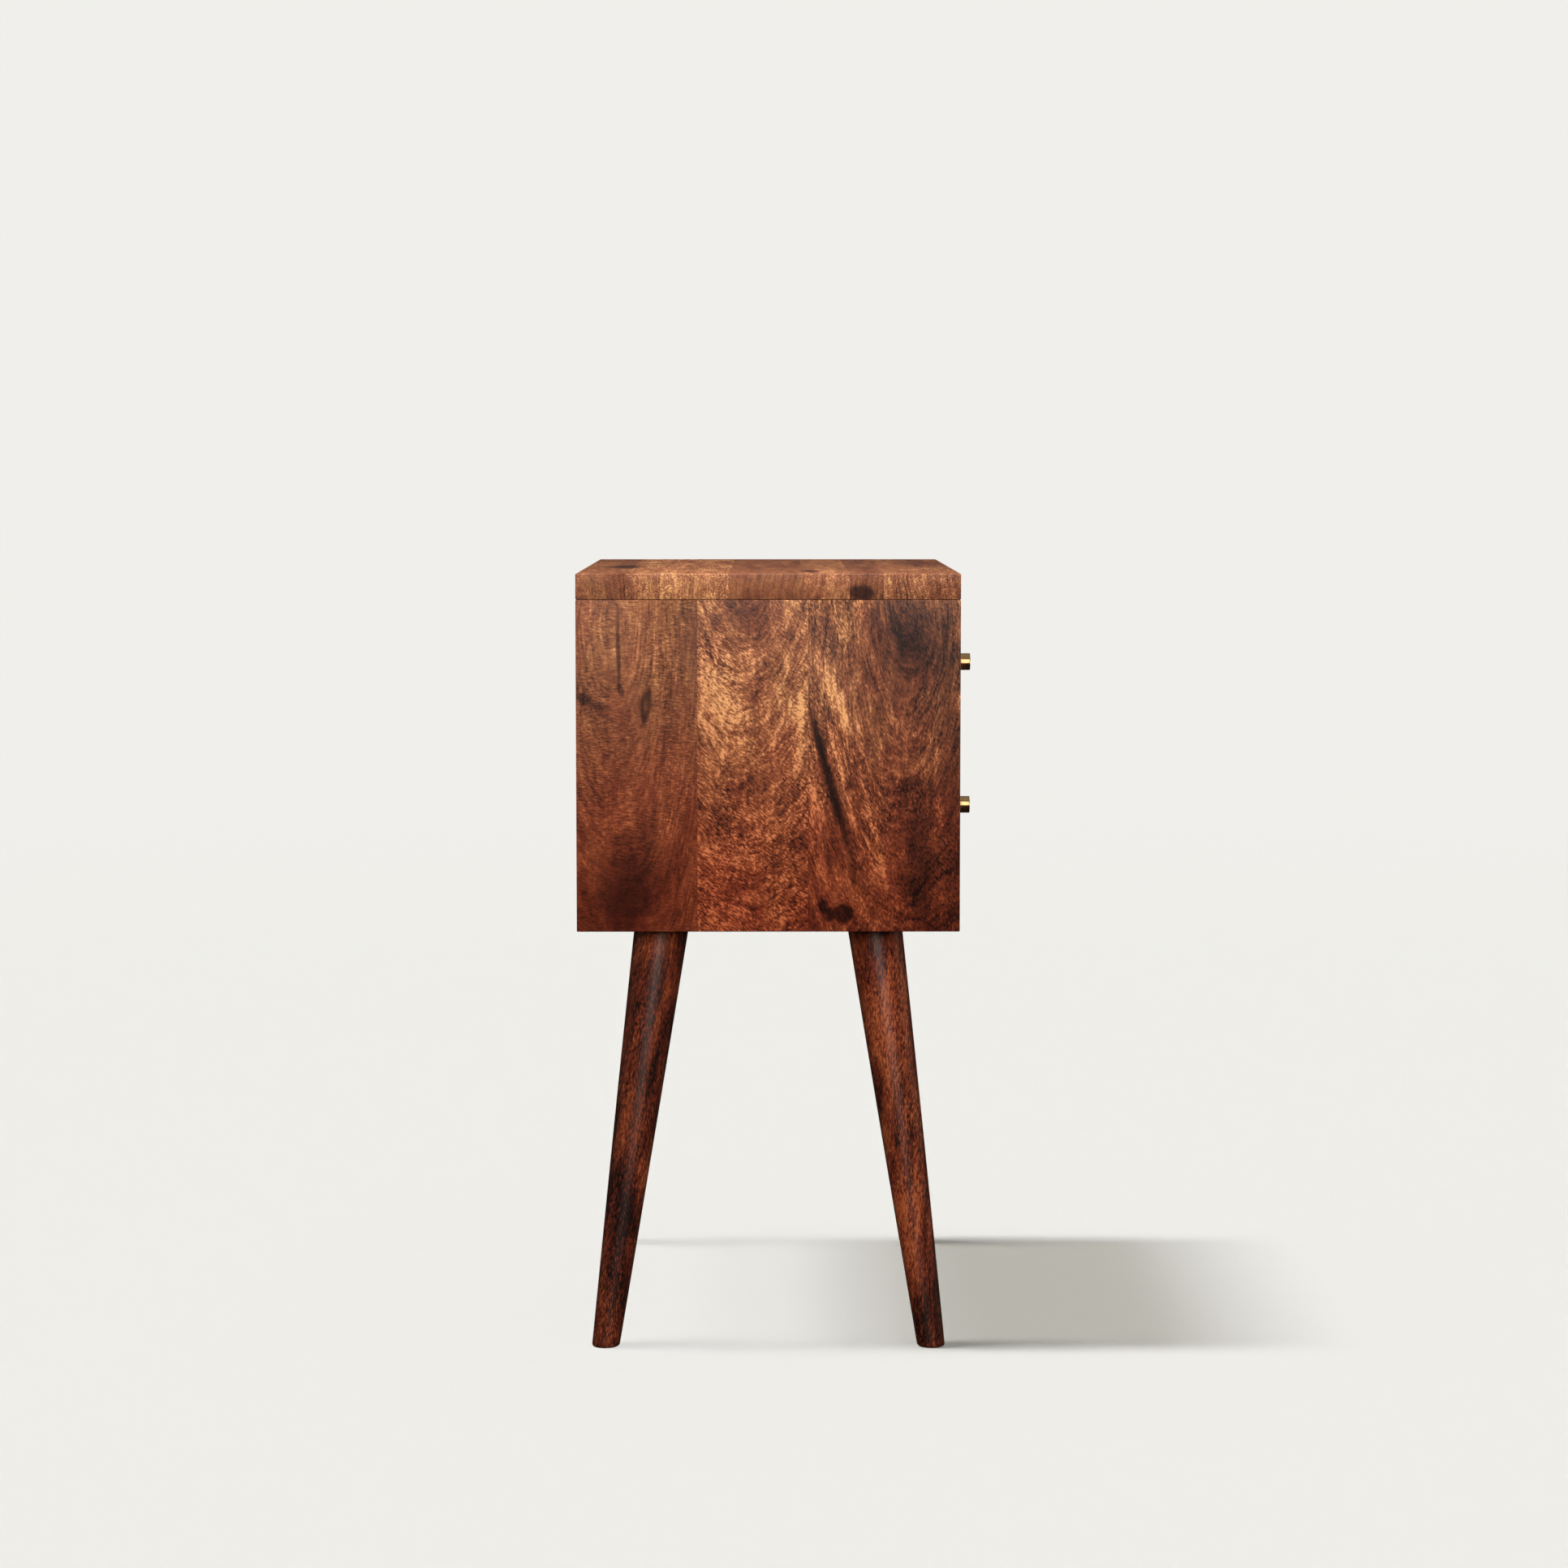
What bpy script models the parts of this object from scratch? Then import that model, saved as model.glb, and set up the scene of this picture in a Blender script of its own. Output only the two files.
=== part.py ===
"""Two-drawer nightstand: solid-wood box on four splayed, turned legs.

Metres, +Z up. The drawers face -Y and the width runs along X. The origin is on the floor,
under the middle of the whole piece, knobs included.
"""

from math import atan2, cos, pi, radians, sin, tan

import bmesh
import bpy
from mathutils import Matrix, Vector

# ---------------------------------------------------------------- driving dimensions

WIDTH = 0.450               # box, left to right
DEPTH = 0.300               # box, front to back, without the knobs
BOX_HEIGHT = 0.280          # underside of the box to the top
LEG_HEIGHT = 0.334          # floor to the underside of the box
BOARD = 0.020               # thickness of the box's boards and the drawer fronts

GLUE_GAP = 0.0003           # between pieces that touch
SCREW_GAP = 0.0003          # round a screw or a dowel in its hole
OVERCUT = 0.002             # how far a cutter runs past the face it opens

# legs
LEG_TOP_RADIUS = 0.0216
LEG_FOOT_RADIUS = 0.0109
LEG_INSET = 0.065           # leg's axis to the box's edges, at the underside
LEG_SPREAD = 0.0445         # how far the foot stands out from there, in X and in Y
FOOT_ROUNDING = 0.0022
LEG_SIDES = 32
PLATE_RADIUS = 0.035
PLATE_SIDES = 24
PLATE_THICKNESS = 0.003
PLATE_SCREW_CIRCLE = 0.028  # radius of the circle that the plate's screws stand on
PLATE_SCREW_COUNT = 3
LEG_BOLT_RADIUS = 0.004
LEG_BOLT_IN_LEG = 0.034
LEG_BOLT_IN_BOX = 0.013     # past the underside, through the plate and into the bottom

# joints of the box
RABBET_WIDTH = 0.010        # bottom and back sit this far into the sides
BACK_THICKNESS = 0.008
DOWEL_RADIUS = 0.004
DOWEL_IN_TOP = 0.011
DOWEL_IN_SIDE = 0.020
DOWELS_PER_SIDE = 3
DOWEL_EDGE = 0.045          # outer dowels to the front and back edges
HOLE_END = 0.001            # air past the end of a dowel or a screw

# rails and runners
RAIL_HEIGHT = 0.016
RAIL_DEPTH = 0.045
RAIL_SETBACK = 0.002        # behind the drawer fronts
RAIL_TENON = 0.006          # into each side
TOP_STRIP_HEIGHT = 0.008
RUNNER_HEIGHT = 0.012
RUNNER_SHORT = 0.005        # runner's end to the end of the shut drawer
RUNNER_HOUSING = 0.003      # into each side
RUNNER_REACH = 0.0070       # out of each side
CLOSED_GAP = 0.0005         # runner's end to the blind end of its groove when shut

# drawers
DRAWER_COUNT = 2
FRONT_SIDE_GAP = 0.0015     # front to the box, at the sides
FRONT_END_GAP = 0.001       # front to the box, above and below
FRONT_BETWEEN_GAP = 0.002   # front to front
DRAWER_SIDE_GAP = 0.002     # drawer side to the box
DRAWER_LIFT = 0.010         # front's lower edge to the drawer side's lower edge, and the same above
DRAWER_AIR = 0.017          # drawer to the back panel when shut
DRAWER_WALL = 0.012
DRAWER_PLY = 0.005
PLY_RISE = 0.008            # drawer side's lower edge to the ply
PLY_GROOVE = 0.005
RUNNER_PLAY = 0.0005        # round a runner in its groove, above and below
RUNNER_TIP_PLAY = 0.0012    # runner to the bottom of its groove
GROOVE_STOP = 0.010         # drawer front to the groove's blind end
HOUSING_WEB = 0.0018        # wood left between the runner groove and the drawer back's housing
TAIL_COUNT = 4
TAIL_LENGTH = 0.012         # dovetails into the front
TAIL_WIDTH = 0.012          # at the root
TAIL_FLARE = 0.002          # wider by this on each side at the tip

# stop buttons
BUTTON_LENGTH = 0.044
BUTTON_WIDTH = 0.014
BUTTON_THICKNESS = 0.010
BUTTON_RISE = 0.008         # above the drawer back when it is up
PIVOT_PLAY = 0.00015        # button's hole round its screw

# knobs and screws
KNOB_REACH = 0.019          # out from the drawer front
KNOB_RADIUS = 0.007
KNOB_NECK_RADIUS = 0.005
KNOB_HEAD_LENGTH = 0.010
KNOB_EDGE = 0.0006
SCREW_RADIUS = 0.002
SCREW_HEAD_RADIUS = 0.004
SCREW_HEAD_HEIGHT = 0.0025
KNOB_SCREW_BITE = 0.009
STOP_SCREW_WEB = 0.003      # wood left behind the stop screw in the drawer back
PLATE_SCREW_LENGTH = 0.013
PLATE_SCREW_HEAD = 0.0022
TURNED_STEPS = 12
KNOB_STEPS = 24

# ---------------------------------------------------------------- places that follow

FRONT_Y = KNOB_REACH / 2 - DEPTH / 2
BACK_Y = FRONT_Y + DEPTH
MIDDLE_Y = (FRONT_Y + BACK_Y) / 2
TOP_Z = LEG_HEIGHT + BOX_HEIGHT
TOP_UNDERSIDE = TOP_Z - BOARD
FLOOR_Z = LEG_HEIGHT + BOARD        # upper face of the bottom panel
HALF_WIDTH = WIDTH / 2
INNER_HALF = HALF_WIDTH - BOARD
RAIL_FRONT = FRONT_Y + BOARD + RAIL_SETBACK
FRONT_SPACE = TOP_UNDERSIDE - FLOOR_Z - 2 * FRONT_END_GAP - (DRAWER_COUNT - 1) * FRONT_BETWEEN_GAP
FRONT_HEIGHT = FRONT_SPACE / DRAWER_COUNT
RUNNER_START = FRONT_Y + BOARD + GROOVE_STOP + CLOSED_GAP
DRAWER_HALF = INNER_HALF - DRAWER_SIDE_GAP
DRAWER_LENGTH = DEPTH - BOARD - BACK_THICKNESS - DRAWER_AIR
RUNNER_LENGTH = DRAWER_LENGTH - GROOVE_STOP - RUNNER_SHORT
RUNNER_GROOVE = RUNNER_REACH - DRAWER_SIDE_GAP + RUNNER_TIP_PLAY
BACK_HOUSING = DRAWER_WALL - RUNNER_GROOVE - HOUSING_WEB
STOP_SCREW_BITE = DRAWER_WALL - STOP_SCREW_WEB
SIDE_HEIGHT = FRONT_HEIGHT - 2 * DRAWER_LIFT

UPRIGHT = (pi / 2, 0, pi / 2)       # turns an outline's x, y and thickness to Y, Z and X
PARTS = "nightstand"
CUTTERS = "nightstand_cutters"


# ---------------------------------------------------------------- scene and materials

def clear_scene():
    for old in list(bpy.data.objects):
        bpy.data.objects.remove(old, do_unlink=True)


def new_collection(name):
    group = bpy.data.collections.new(name)
    bpy.context.scene.collection.children.link(group)
    return group


def material(name, colour, roughness, metallic=0.0):
    made = bpy.data.materials.new(name)
    made.use_nodes = True
    shader = made.node_tree.nodes["Principled BSDF"]
    shader.inputs["Base Color"].default_value = (*colour, 1.0)
    shader.inputs["Roughness"].default_value = roughness
    shader.inputs["Metallic"].default_value = metallic
    return made


def link_piece(name, mesh, finish, parent=None, location=(0, 0, 0), rotation=(0, 0, 0)):
    piece = bpy.data.objects.new(name, mesh)
    bpy.data.collections[PARTS].objects.link(piece)
    piece.location = location
    piece.rotation_euler = rotation
    piece.parent = parent
    mesh.materials.clear()
    mesh.materials.append(finish)
    return piece


def joint_empty(name, location, parent=None):
    empty = bpy.data.objects.new(name, None)
    bpy.data.collections[PARTS].objects.link(empty)
    empty.empty_display_size = 0.02
    empty.location = location
    empty.parent = parent
    return empty


# ---------------------------------------------------------------- basic shapes

def box_mesh(name, size):
    shape = bmesh.new()
    bmesh.ops.create_cube(shape, size=1.0, matrix=Matrix.Diagonal((*size, 1.0)))
    mesh = bpy.data.meshes.new(name)
    shape.to_mesh(mesh)
    shape.free()
    return mesh


def board(name, low, high, finish, parent=None):
    """A straight board between two opposite corners, in its parent's coordinates."""
    low, high = Vector(low), Vector(high)
    return link_piece(name, box_mesh(name, high - low), finish, parent, (low + high) / 2)


def outline_mesh(name, outline, thickness):
    """A flat outline of (x, y) points with a thickness along Z, half of it on either side."""
    curve = bpy.data.curves.new(name, "CURVE")
    curve.dimensions = "2D"
    curve.fill_mode = "BOTH"
    curve.extrude = thickness / 2
    spline = curve.splines.new("POLY")
    spline.points.add(len(outline) - 1)
    for point, (x, y) in zip(spline.points, outline):
        point.co = (x, y, 0, 1)
    spline.use_cyclic_u = True
    flat = bpy.data.objects.new(name, curve)
    bpy.context.scene.collection.objects.link(flat)
    seen = flat.evaluated_get(bpy.context.evaluated_depsgraph_get())
    mesh = bpy.data.meshes.new_from_object(seen)
    bpy.data.objects.remove(flat)
    shape = bmesh.new()
    shape.from_mesh(mesh)
    bmesh.ops.remove_doubles(shape, verts=shape.verts, dist=0.00001)
    shape.to_mesh(mesh)
    shape.free()
    return mesh


def rod_mesh(name, radius, length, sides, tip_radius=None):
    """A round bar along Z that starts at z = 0."""
    shape = bmesh.new()
    bmesh.ops.create_cone(
        shape,
        cap_ends=True,
        segments=sides,
        radius1=radius,
        radius2=radius if tip_radius is None else tip_radius,
        depth=length,
        matrix=Matrix.Translation((0, 0, length / 2)),
    )
    mesh = bpy.data.meshes.new(name)
    shape.to_mesh(mesh)
    shape.free()
    return mesh


def turned_mesh(name, outline):
    """A half outline of (radius, height) points, from the top down its outer side."""
    mesh = bpy.data.meshes.new(name)
    points = [(radius, 0, height) for radius, height in outline]
    mesh.from_pydata(points, [(i, i + 1) for i in range(len(points) - 1)], [])
    return mesh


def turn(piece, steps=TURNED_STEPS):
    screw = piece.modifiers.new("turned", "SCREW")
    screw.axis = "Z"
    screw.angle = 2 * pi
    screw.steps = steps
    screw.render_steps = steps
    screw.use_merge_vertices = True
    screw.merge_threshold = 0.00001
    screw.use_smooth_shade = True
    return piece


# ---------------------------------------------------------------- cutting

def cut(piece, mesh, location, rotation=(0, 0, 0)):
    """Take a shape out of a piece. The place is in the coordinates of the piece's parent."""
    cutter = bpy.data.objects.new(piece.name + "_cutter", mesh)
    bpy.data.collections[CUTTERS].objects.link(cutter)
    cutter.parent = piece.parent
    cutter.location = location
    cutter.rotation_euler = rotation
    cutter.hide_render = True
    cutter.display_type = "WIRE"
    slot = piece.modifiers.new("cut", "BOOLEAN")
    slot.operation = "DIFFERENCE"
    slot.solver = "EXACT"
    slot.object = cutter
    return cutter


def cut_box(piece, low, high):
    low, high = Vector(low), Vector(high)
    return cut(piece, box_mesh("box_cutter", high - low), (low + high) / 2)


def cut_hole(piece, radius, length, start, rotation=(0, 0, 0), sides=TURNED_STEPS):
    return cut(piece, rod_mesh("hole_cutter", radius, length, sides), start, rotation)


def cut_turned(piece, outline, location, rotation=(0, 0, 0)):
    return turn(cut(piece, turned_mesh("turned_cutter", outline), location, rotation))


# ---------------------------------------------------------------- box

def side_name(direction):
    return "right" if direction > 0 else "left"


def x_span(direction, inner, outer):
    """The two x values of a span that lies inner..outer from the middle, on one side."""
    return sorted((direction * inner, direction * outer))


def dowel_places():
    reach = DEPTH / 2 - DOWEL_EDGE
    step = 2 * reach / (DOWELS_PER_SIDE - 1)
    return [MIDDLE_Y - reach + step * i for i in range(DOWELS_PER_SIDE)]


def leg_corners():
    return [(across, along) for along in (-1, 1) for across in (-1, 1)]


def leg_head(across, along):
    """Where a leg's axis crosses the underside of the box."""
    x = across * (HALF_WIDTH - LEG_INSET)
    y = MIDDLE_Y + along * (DEPTH / 2 - LEG_INSET)
    return Vector((x, y, LEG_HEIGHT))


def leg_direction(across, along):
    """Unit vector up a leg's axis, from the foot to the head."""
    return Vector((-across * LEG_SPREAD, -along * LEG_SPREAD, LEG_HEIGHT)).normalized()


def leg_turn(across, along):
    return leg_direction(across, along).to_track_quat("Z", "Y").to_euler()


def plate_screw_places(across, along):
    """Screw centres on a leg plate. The first one points to the box's corner."""
    head = leg_head(across, along)
    start = atan2(along, across)
    places = []
    for i in range(PLATE_SCREW_COUNT):
        angle = start + 2 * pi * i / PLATE_SCREW_COUNT
        spoke = Vector((cos(angle), sin(angle), 0))
        places.append(head + spoke * PLATE_SCREW_CIRCLE)
    return places


def runner_heights():
    return [drawer_base(i) + FRONT_HEIGHT / 2 for i in range(DRAWER_COUNT)]


def drawer_base(index):
    """Height of the lower edge of a drawer front, counted from the lowest drawer."""
    return FLOOR_Z + FRONT_END_GAP + index * (FRONT_HEIGHT + FRONT_BETWEEN_GAP)


def rail_middle():
    return drawer_base(1) - FRONT_BETWEEN_GAP / 2


def build_top(finish):
    top = board(
        "top_panel",
        (-HALF_WIDTH, FRONT_Y, TOP_UNDERSIDE),
        (HALF_WIDTH, BACK_Y, TOP_Z),
        finish,
    )
    for direction in (-1, 1):
        for y in dowel_places():
            start = (direction * (HALF_WIDTH - BOARD / 2), y, TOP_UNDERSIDE - OVERCUT)
            cut_hole(top, DOWEL_RADIUS + SCREW_GAP, OVERCUT + DOWEL_IN_TOP + HOLE_END, start)


def build_side(direction, finish):
    name = "side_panel_" + side_name(direction)
    x_low, x_high = x_span(direction, INNER_HALF, HALF_WIDTH)
    side_top = TOP_UNDERSIDE - GLUE_GAP
    side = board(name, (x_low, FRONT_Y, LEG_HEIGHT), (x_high, BACK_Y, side_top), finish)

    # rabbets for the bottom and the back
    x_low, x_high = x_span(direction, INNER_HALF - OVERCUT, INNER_HALF + RABBET_WIDTH)
    cut_box(
        side,
        (x_low, FRONT_Y - OVERCUT, LEG_HEIGHT - OVERCUT),
        (x_high, BACK_Y + OVERCUT, FLOOR_Z + GLUE_GAP),
    )
    cut_box(
        side,
        (x_low, BACK_Y - BACK_THICKNESS - GLUE_GAP, LEG_HEIGHT - OVERCUT),
        (x_high, BACK_Y + OVERCUT, side_top + OVERCUT),
    )

    # housing for the end of the rail
    x_low, x_high = x_span(direction, INNER_HALF - OVERCUT, INNER_HALF + RAIL_TENON)
    half = RAIL_HEIGHT / 2 + GLUE_GAP
    cut_box(
        side,
        (x_low, RAIL_FRONT - GLUE_GAP, rail_middle() - half),
        (x_high, RAIL_FRONT + RAIL_DEPTH + GLUE_GAP, rail_middle() + half),
    )

    # housings for the runners
    x_low, x_high = x_span(direction, INNER_HALF - OVERCUT, INNER_HALF + RUNNER_HOUSING)
    half = RUNNER_HEIGHT / 2 + GLUE_GAP
    for z in runner_heights():
        cut_box(
            side,
            (x_low, RUNNER_START - GLUE_GAP, z - half),
            (x_high, RUNNER_START + RUNNER_LENGTH + GLUE_GAP, z + half),
        )

    # dowel holes in the upper edge
    for y in dowel_places():
        start = (direction * (HALF_WIDTH - BOARD / 2), y, side_top - DOWEL_IN_SIDE - HOLE_END)
        cut_hole(side, DOWEL_RADIUS + SCREW_GAP, DOWEL_IN_SIDE + HOLE_END + OVERCUT, start)


def build_dowels(direction, finish):
    low = TOP_UNDERSIDE - GLUE_GAP - DOWEL_IN_SIDE
    length = DOWEL_IN_TOP + DOWEL_IN_SIDE
    for number, y in enumerate(dowel_places(), start=1):
        name = "dowel_" + side_name(direction) + "_" + str(number)
        mesh = rod_mesh(name, DOWEL_RADIUS, length, TURNED_STEPS)
        link_piece(name, mesh, finish, None, (direction * (HALF_WIDTH - BOARD / 2), y, low))


def build_bottom(finish):
    reach = INNER_HALF + RABBET_WIDTH - GLUE_GAP
    back = BACK_Y - BACK_THICKNESS - GLUE_GAP
    bottom = board("bottom_panel", (-reach, FRONT_Y, LEG_HEIGHT), (reach, back, FLOOR_Z), finish)
    for corner in leg_corners():
        head = leg_head(*corner)
        below = head - Vector((0, 0, OVERCUT))
        cut_hole(
            bottom,
            PLATE_RADIUS + SCREW_GAP,
            OVERCUT + PLATE_THICKNESS + GLUE_GAP,
            below,
            sides=PLATE_SIDES,
        )
        cut_hole(
            bottom,
            LEG_BOLT_RADIUS + SCREW_GAP,
            LEG_BOLT_IN_BOX + HOLE_END,
            head,
            leg_turn(*corner),
        )
        for place in plate_screw_places(*corner):
            cut_hole(bottom, SCREW_RADIUS + SCREW_GAP, PLATE_SCREW_LENGTH + HOLE_END, place)


def build_back(finish):
    reach = INNER_HALF + RABBET_WIDTH - GLUE_GAP
    board(
        "back_panel",
        (-reach, BACK_Y - BACK_THICKNESS, LEG_HEIGHT),
        (reach, BACK_Y, TOP_UNDERSIDE - GLUE_GAP),
        finish,
    )


def build_rails(finish):
    reach = INNER_HALF + RAIL_TENON - GLUE_GAP
    half = RAIL_HEIGHT / 2
    board(
        "middle_rail",
        (-reach, RAIL_FRONT, rail_middle() - half),
        (reach, RAIL_FRONT + RAIL_DEPTH, rail_middle() + half),
        finish,
    )
    reach = INNER_HALF - GLUE_GAP
    high = TOP_UNDERSIDE - GLUE_GAP
    board(
        "top_strip",
        (-reach, RAIL_FRONT, high - TOP_STRIP_HEIGHT),
        (reach, RAIL_FRONT + RAIL_DEPTH, high),
        finish,
    )


def build_runners(direction, finish):
    inner = INNER_HALF - RUNNER_REACH
    outer = INNER_HALF + RUNNER_HOUSING - GLUE_GAP
    x_low, x_high = x_span(direction, inner, outer)
    for level, z in zip(("lower", "upper"), runner_heights()):
        board(
            "runner_" + level + "_" + side_name(direction),
            (x_low, RUNNER_START, z - RUNNER_HEIGHT / 2),
            (x_high, RUNNER_START + RUNNER_LENGTH, z + RUNNER_HEIGHT / 2),
            finish,
        )


# ---------------------------------------------------------------- legs

def leg_mesh(name, across, along):
    """A turned taper on its slanting axis, cut level at the box and at the floor."""
    up = leg_direction(across, along)
    head = leg_head(across, along)
    axis_length = LEG_HEIGHT / up.z
    spare = 2 * LEG_TOP_RADIUS * tan(up.angle(Vector((0, 0, 1))))
    taper = (LEG_TOP_RADIUS - LEG_FOOT_RADIUS) / axis_length
    tilt = up.to_track_quat("Z", "Y").to_matrix().to_4x4()
    middle = head - up * (axis_length / 2)
    shape = bmesh.new()
    bmesh.ops.create_cone(
        shape,
        cap_ends=True,
        segments=LEG_SIDES,
        radius1=LEG_FOOT_RADIUS - taper * spare,
        radius2=LEG_TOP_RADIUS + taper * spare,
        depth=axis_length + 2 * spare,
        matrix=Matrix.Translation(middle) @ tilt,
    )
    trim_level(shape, LEG_HEIGHT - GLUE_GAP, 1)
    foot_edges = trim_level(shape, 0.0, -1)
    bmesh.ops.bevel(
        shape,
        geom=foot_edges,
        offset=FOOT_ROUNDING,
        segments=2,
        profile=0.5,
        affect="EDGES",
    )
    mesh = bpy.data.meshes.new(name)
    shape.to_mesh(mesh)
    shape.free()
    mesh.shade_smooth()
    mesh.set_sharp_from_angle(angle=radians(40))
    return mesh


def trim_level(shape, height, outward):
    """Cut off what lies past a level plane, close the cut and return its edges."""
    everything = shape.verts[:] + shape.edges[:] + shape.faces[:]
    result = bmesh.ops.bisect_plane(
        shape,
        geom=everything,
        dist=0.00001,
        plane_co=(0, 0, height),
        plane_no=(0, 0, outward),
        clear_outer=True,
    )
    rim = [item for item in result["geom_cut"] if isinstance(item, bmesh.types.BMEdge)]
    bmesh.ops.contextual_create(shape, geom=rim)
    bmesh.ops.recalc_face_normals(shape, faces=shape.faces[:])
    return rim


def corner_name(across, along):
    return ("front" if along < 0 else "rear") + "_" + side_name(across)


def build_leg(across, along, wood, steel):
    where = corner_name(across, along)
    head = leg_head(across, along)
    up = leg_direction(across, along)
    lean = leg_turn(across, along)

    leg = link_piece("leg_" + where, leg_mesh("leg_" + where, across, along), wood)
    hole_depth = LEG_BOLT_IN_LEG + HOLE_END
    bottom_of_hole = head - up * hole_depth
    cut_hole(leg, LEG_BOLT_RADIUS + SCREW_GAP, 2 * hole_depth, bottom_of_hole, lean)

    name = "leg_plate_" + where
    plate = link_piece(
        name,
        rod_mesh(name, PLATE_RADIUS, PLATE_THICKNESS, PLATE_SIDES),
        steel,
        None,
        head,
    )
    below = head - up * 2 * PLATE_THICKNESS
    cut_hole(plate, LEG_BOLT_RADIUS + SCREW_GAP, 4 * PLATE_THICKNESS, below, lean)
    for place in plate_screw_places(across, along):
        cut_turned(plate, countersink_outline(), place)

    name = "leg_bolt_" + where
    length = LEG_BOLT_IN_LEG + LEG_BOLT_IN_BOX
    bolt = rod_mesh(name, LEG_BOLT_RADIUS, length, TURNED_STEPS)
    link_piece(name, bolt, steel, None, head - up * LEG_BOLT_IN_LEG, lean)

    for number, place in enumerate(plate_screw_places(across, along), start=1):
        name = "plate_screw_" + where + "_" + str(number)
        turn(link_piece(name, turned_mesh(name, plate_screw_outline()), steel, None, place))


def plate_screw_outline():
    """Countersunk screw, head down and flush with z = 0."""
    return [
        (0, PLATE_SCREW_LENGTH),
        (SCREW_RADIUS, PLATE_SCREW_LENGTH - SCREW_RADIUS),
        (SCREW_RADIUS, PLATE_SCREW_HEAD),
        (SCREW_HEAD_RADIUS, 0),
        (0, 0),
    ]


def countersink_outline():
    """The hole for that screw, open on both faces of the plate."""
    high = PLATE_THICKNESS + OVERCUT
    widen = (SCREW_HEAD_RADIUS - SCREW_RADIUS) / PLATE_SCREW_HEAD * OVERCUT
    return [
        (0, high),
        (SCREW_RADIUS + SCREW_GAP, high),
        (SCREW_RADIUS + SCREW_GAP, PLATE_SCREW_HEAD + SCREW_GAP),
        (SCREW_HEAD_RADIUS + SCREW_GAP + widen, SCREW_GAP - OVERCUT),
        (0, SCREW_GAP - OVERCUT),
    ]


# ---------------------------------------------------------------- drawers
# A drawer's pieces are placed from its own empty: x = 0 in the middle, y = 0 on the face of
# the front, z = 0 on the front's lower edge.

def tail_heights():
    """Middle heights of the dovetails, evenly spaced up a drawer side."""
    step = SIDE_HEIGHT / TAIL_COUNT
    return [DRAWER_LIFT + step * (i + 0.5) for i in range(TAIL_COUNT)]


def tail_outline(middle, root, tip, gap=0.0):
    """A dovetail as (y, z) points, from y = root to y = tip, widened all round by gap."""
    slope = TAIL_FLARE / TAIL_LENGTH
    start = BOARD + GLUE_GAP
    half_root = TAIL_WIDTH / 2 + slope * (start - root) + gap
    half_tip = TAIL_WIDTH / 2 + slope * (start - tip) + gap
    return [
        (root, middle - half_root),
        (tip, middle - half_tip),
        (tip, middle + half_tip),
        (root, middle + half_root),
    ]


def side_outline():
    """A drawer side as (y, z) points, with the dovetails on its front end."""
    start = BOARD + GLUE_GAP
    end = BOARD + DRAWER_LENGTH
    points = [(end, DRAWER_LIFT), (start, DRAWER_LIFT)]
    for middle in tail_heights():
        points += tail_outline(middle, start, start - TAIL_LENGTH)
    return points + [(start, DRAWER_LIFT + SIDE_HEIGHT), (end, DRAWER_LIFT + SIDE_HEIGHT)]


def build_drawer_front(level, axis, wood):
    half = INNER_HALF - FRONT_SIDE_GAP
    front = board("drawer_front_" + level, (-half, 0, 0), (half, BOARD, FRONT_HEIGHT), wood, axis)
    ply_low = DRAWER_LIFT + PLY_RISE - GLUE_GAP
    reach = DRAWER_HALF - DRAWER_WALL + PLY_GROOVE
    cut_box(
        front,
        (-reach, BOARD - PLY_GROOVE, ply_low),
        (reach, BOARD + OVERCUT, ply_low + DRAWER_PLY + 2 * GLUE_GAP),
    )
    # The sockets run out through the front's end, behind its face, as a lapped dovetail does.
    for direction in (-1, 1):
        inner = DRAWER_HALF - DRAWER_WALL - GLUE_GAP
        outer = half + OVERCUT
        for z in tail_heights():
            outline = tail_outline(z, BOARD + OVERCUT, BOARD - TAIL_LENGTH, GLUE_GAP)
            socket = outline_mesh("socket", outline, outer - inner)
            cut(front, socket, (direction * (inner + outer) / 2, 0, 0), UPRIGHT)
    knob_hole = (0, BOARD + OVERCUT, FRONT_HEIGHT / 2)
    cut_hole(front, SCREW_RADIUS + SCREW_GAP, BOARD + 2 * OVERCUT, knob_hole, (pi / 2, 0, 0))


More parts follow.
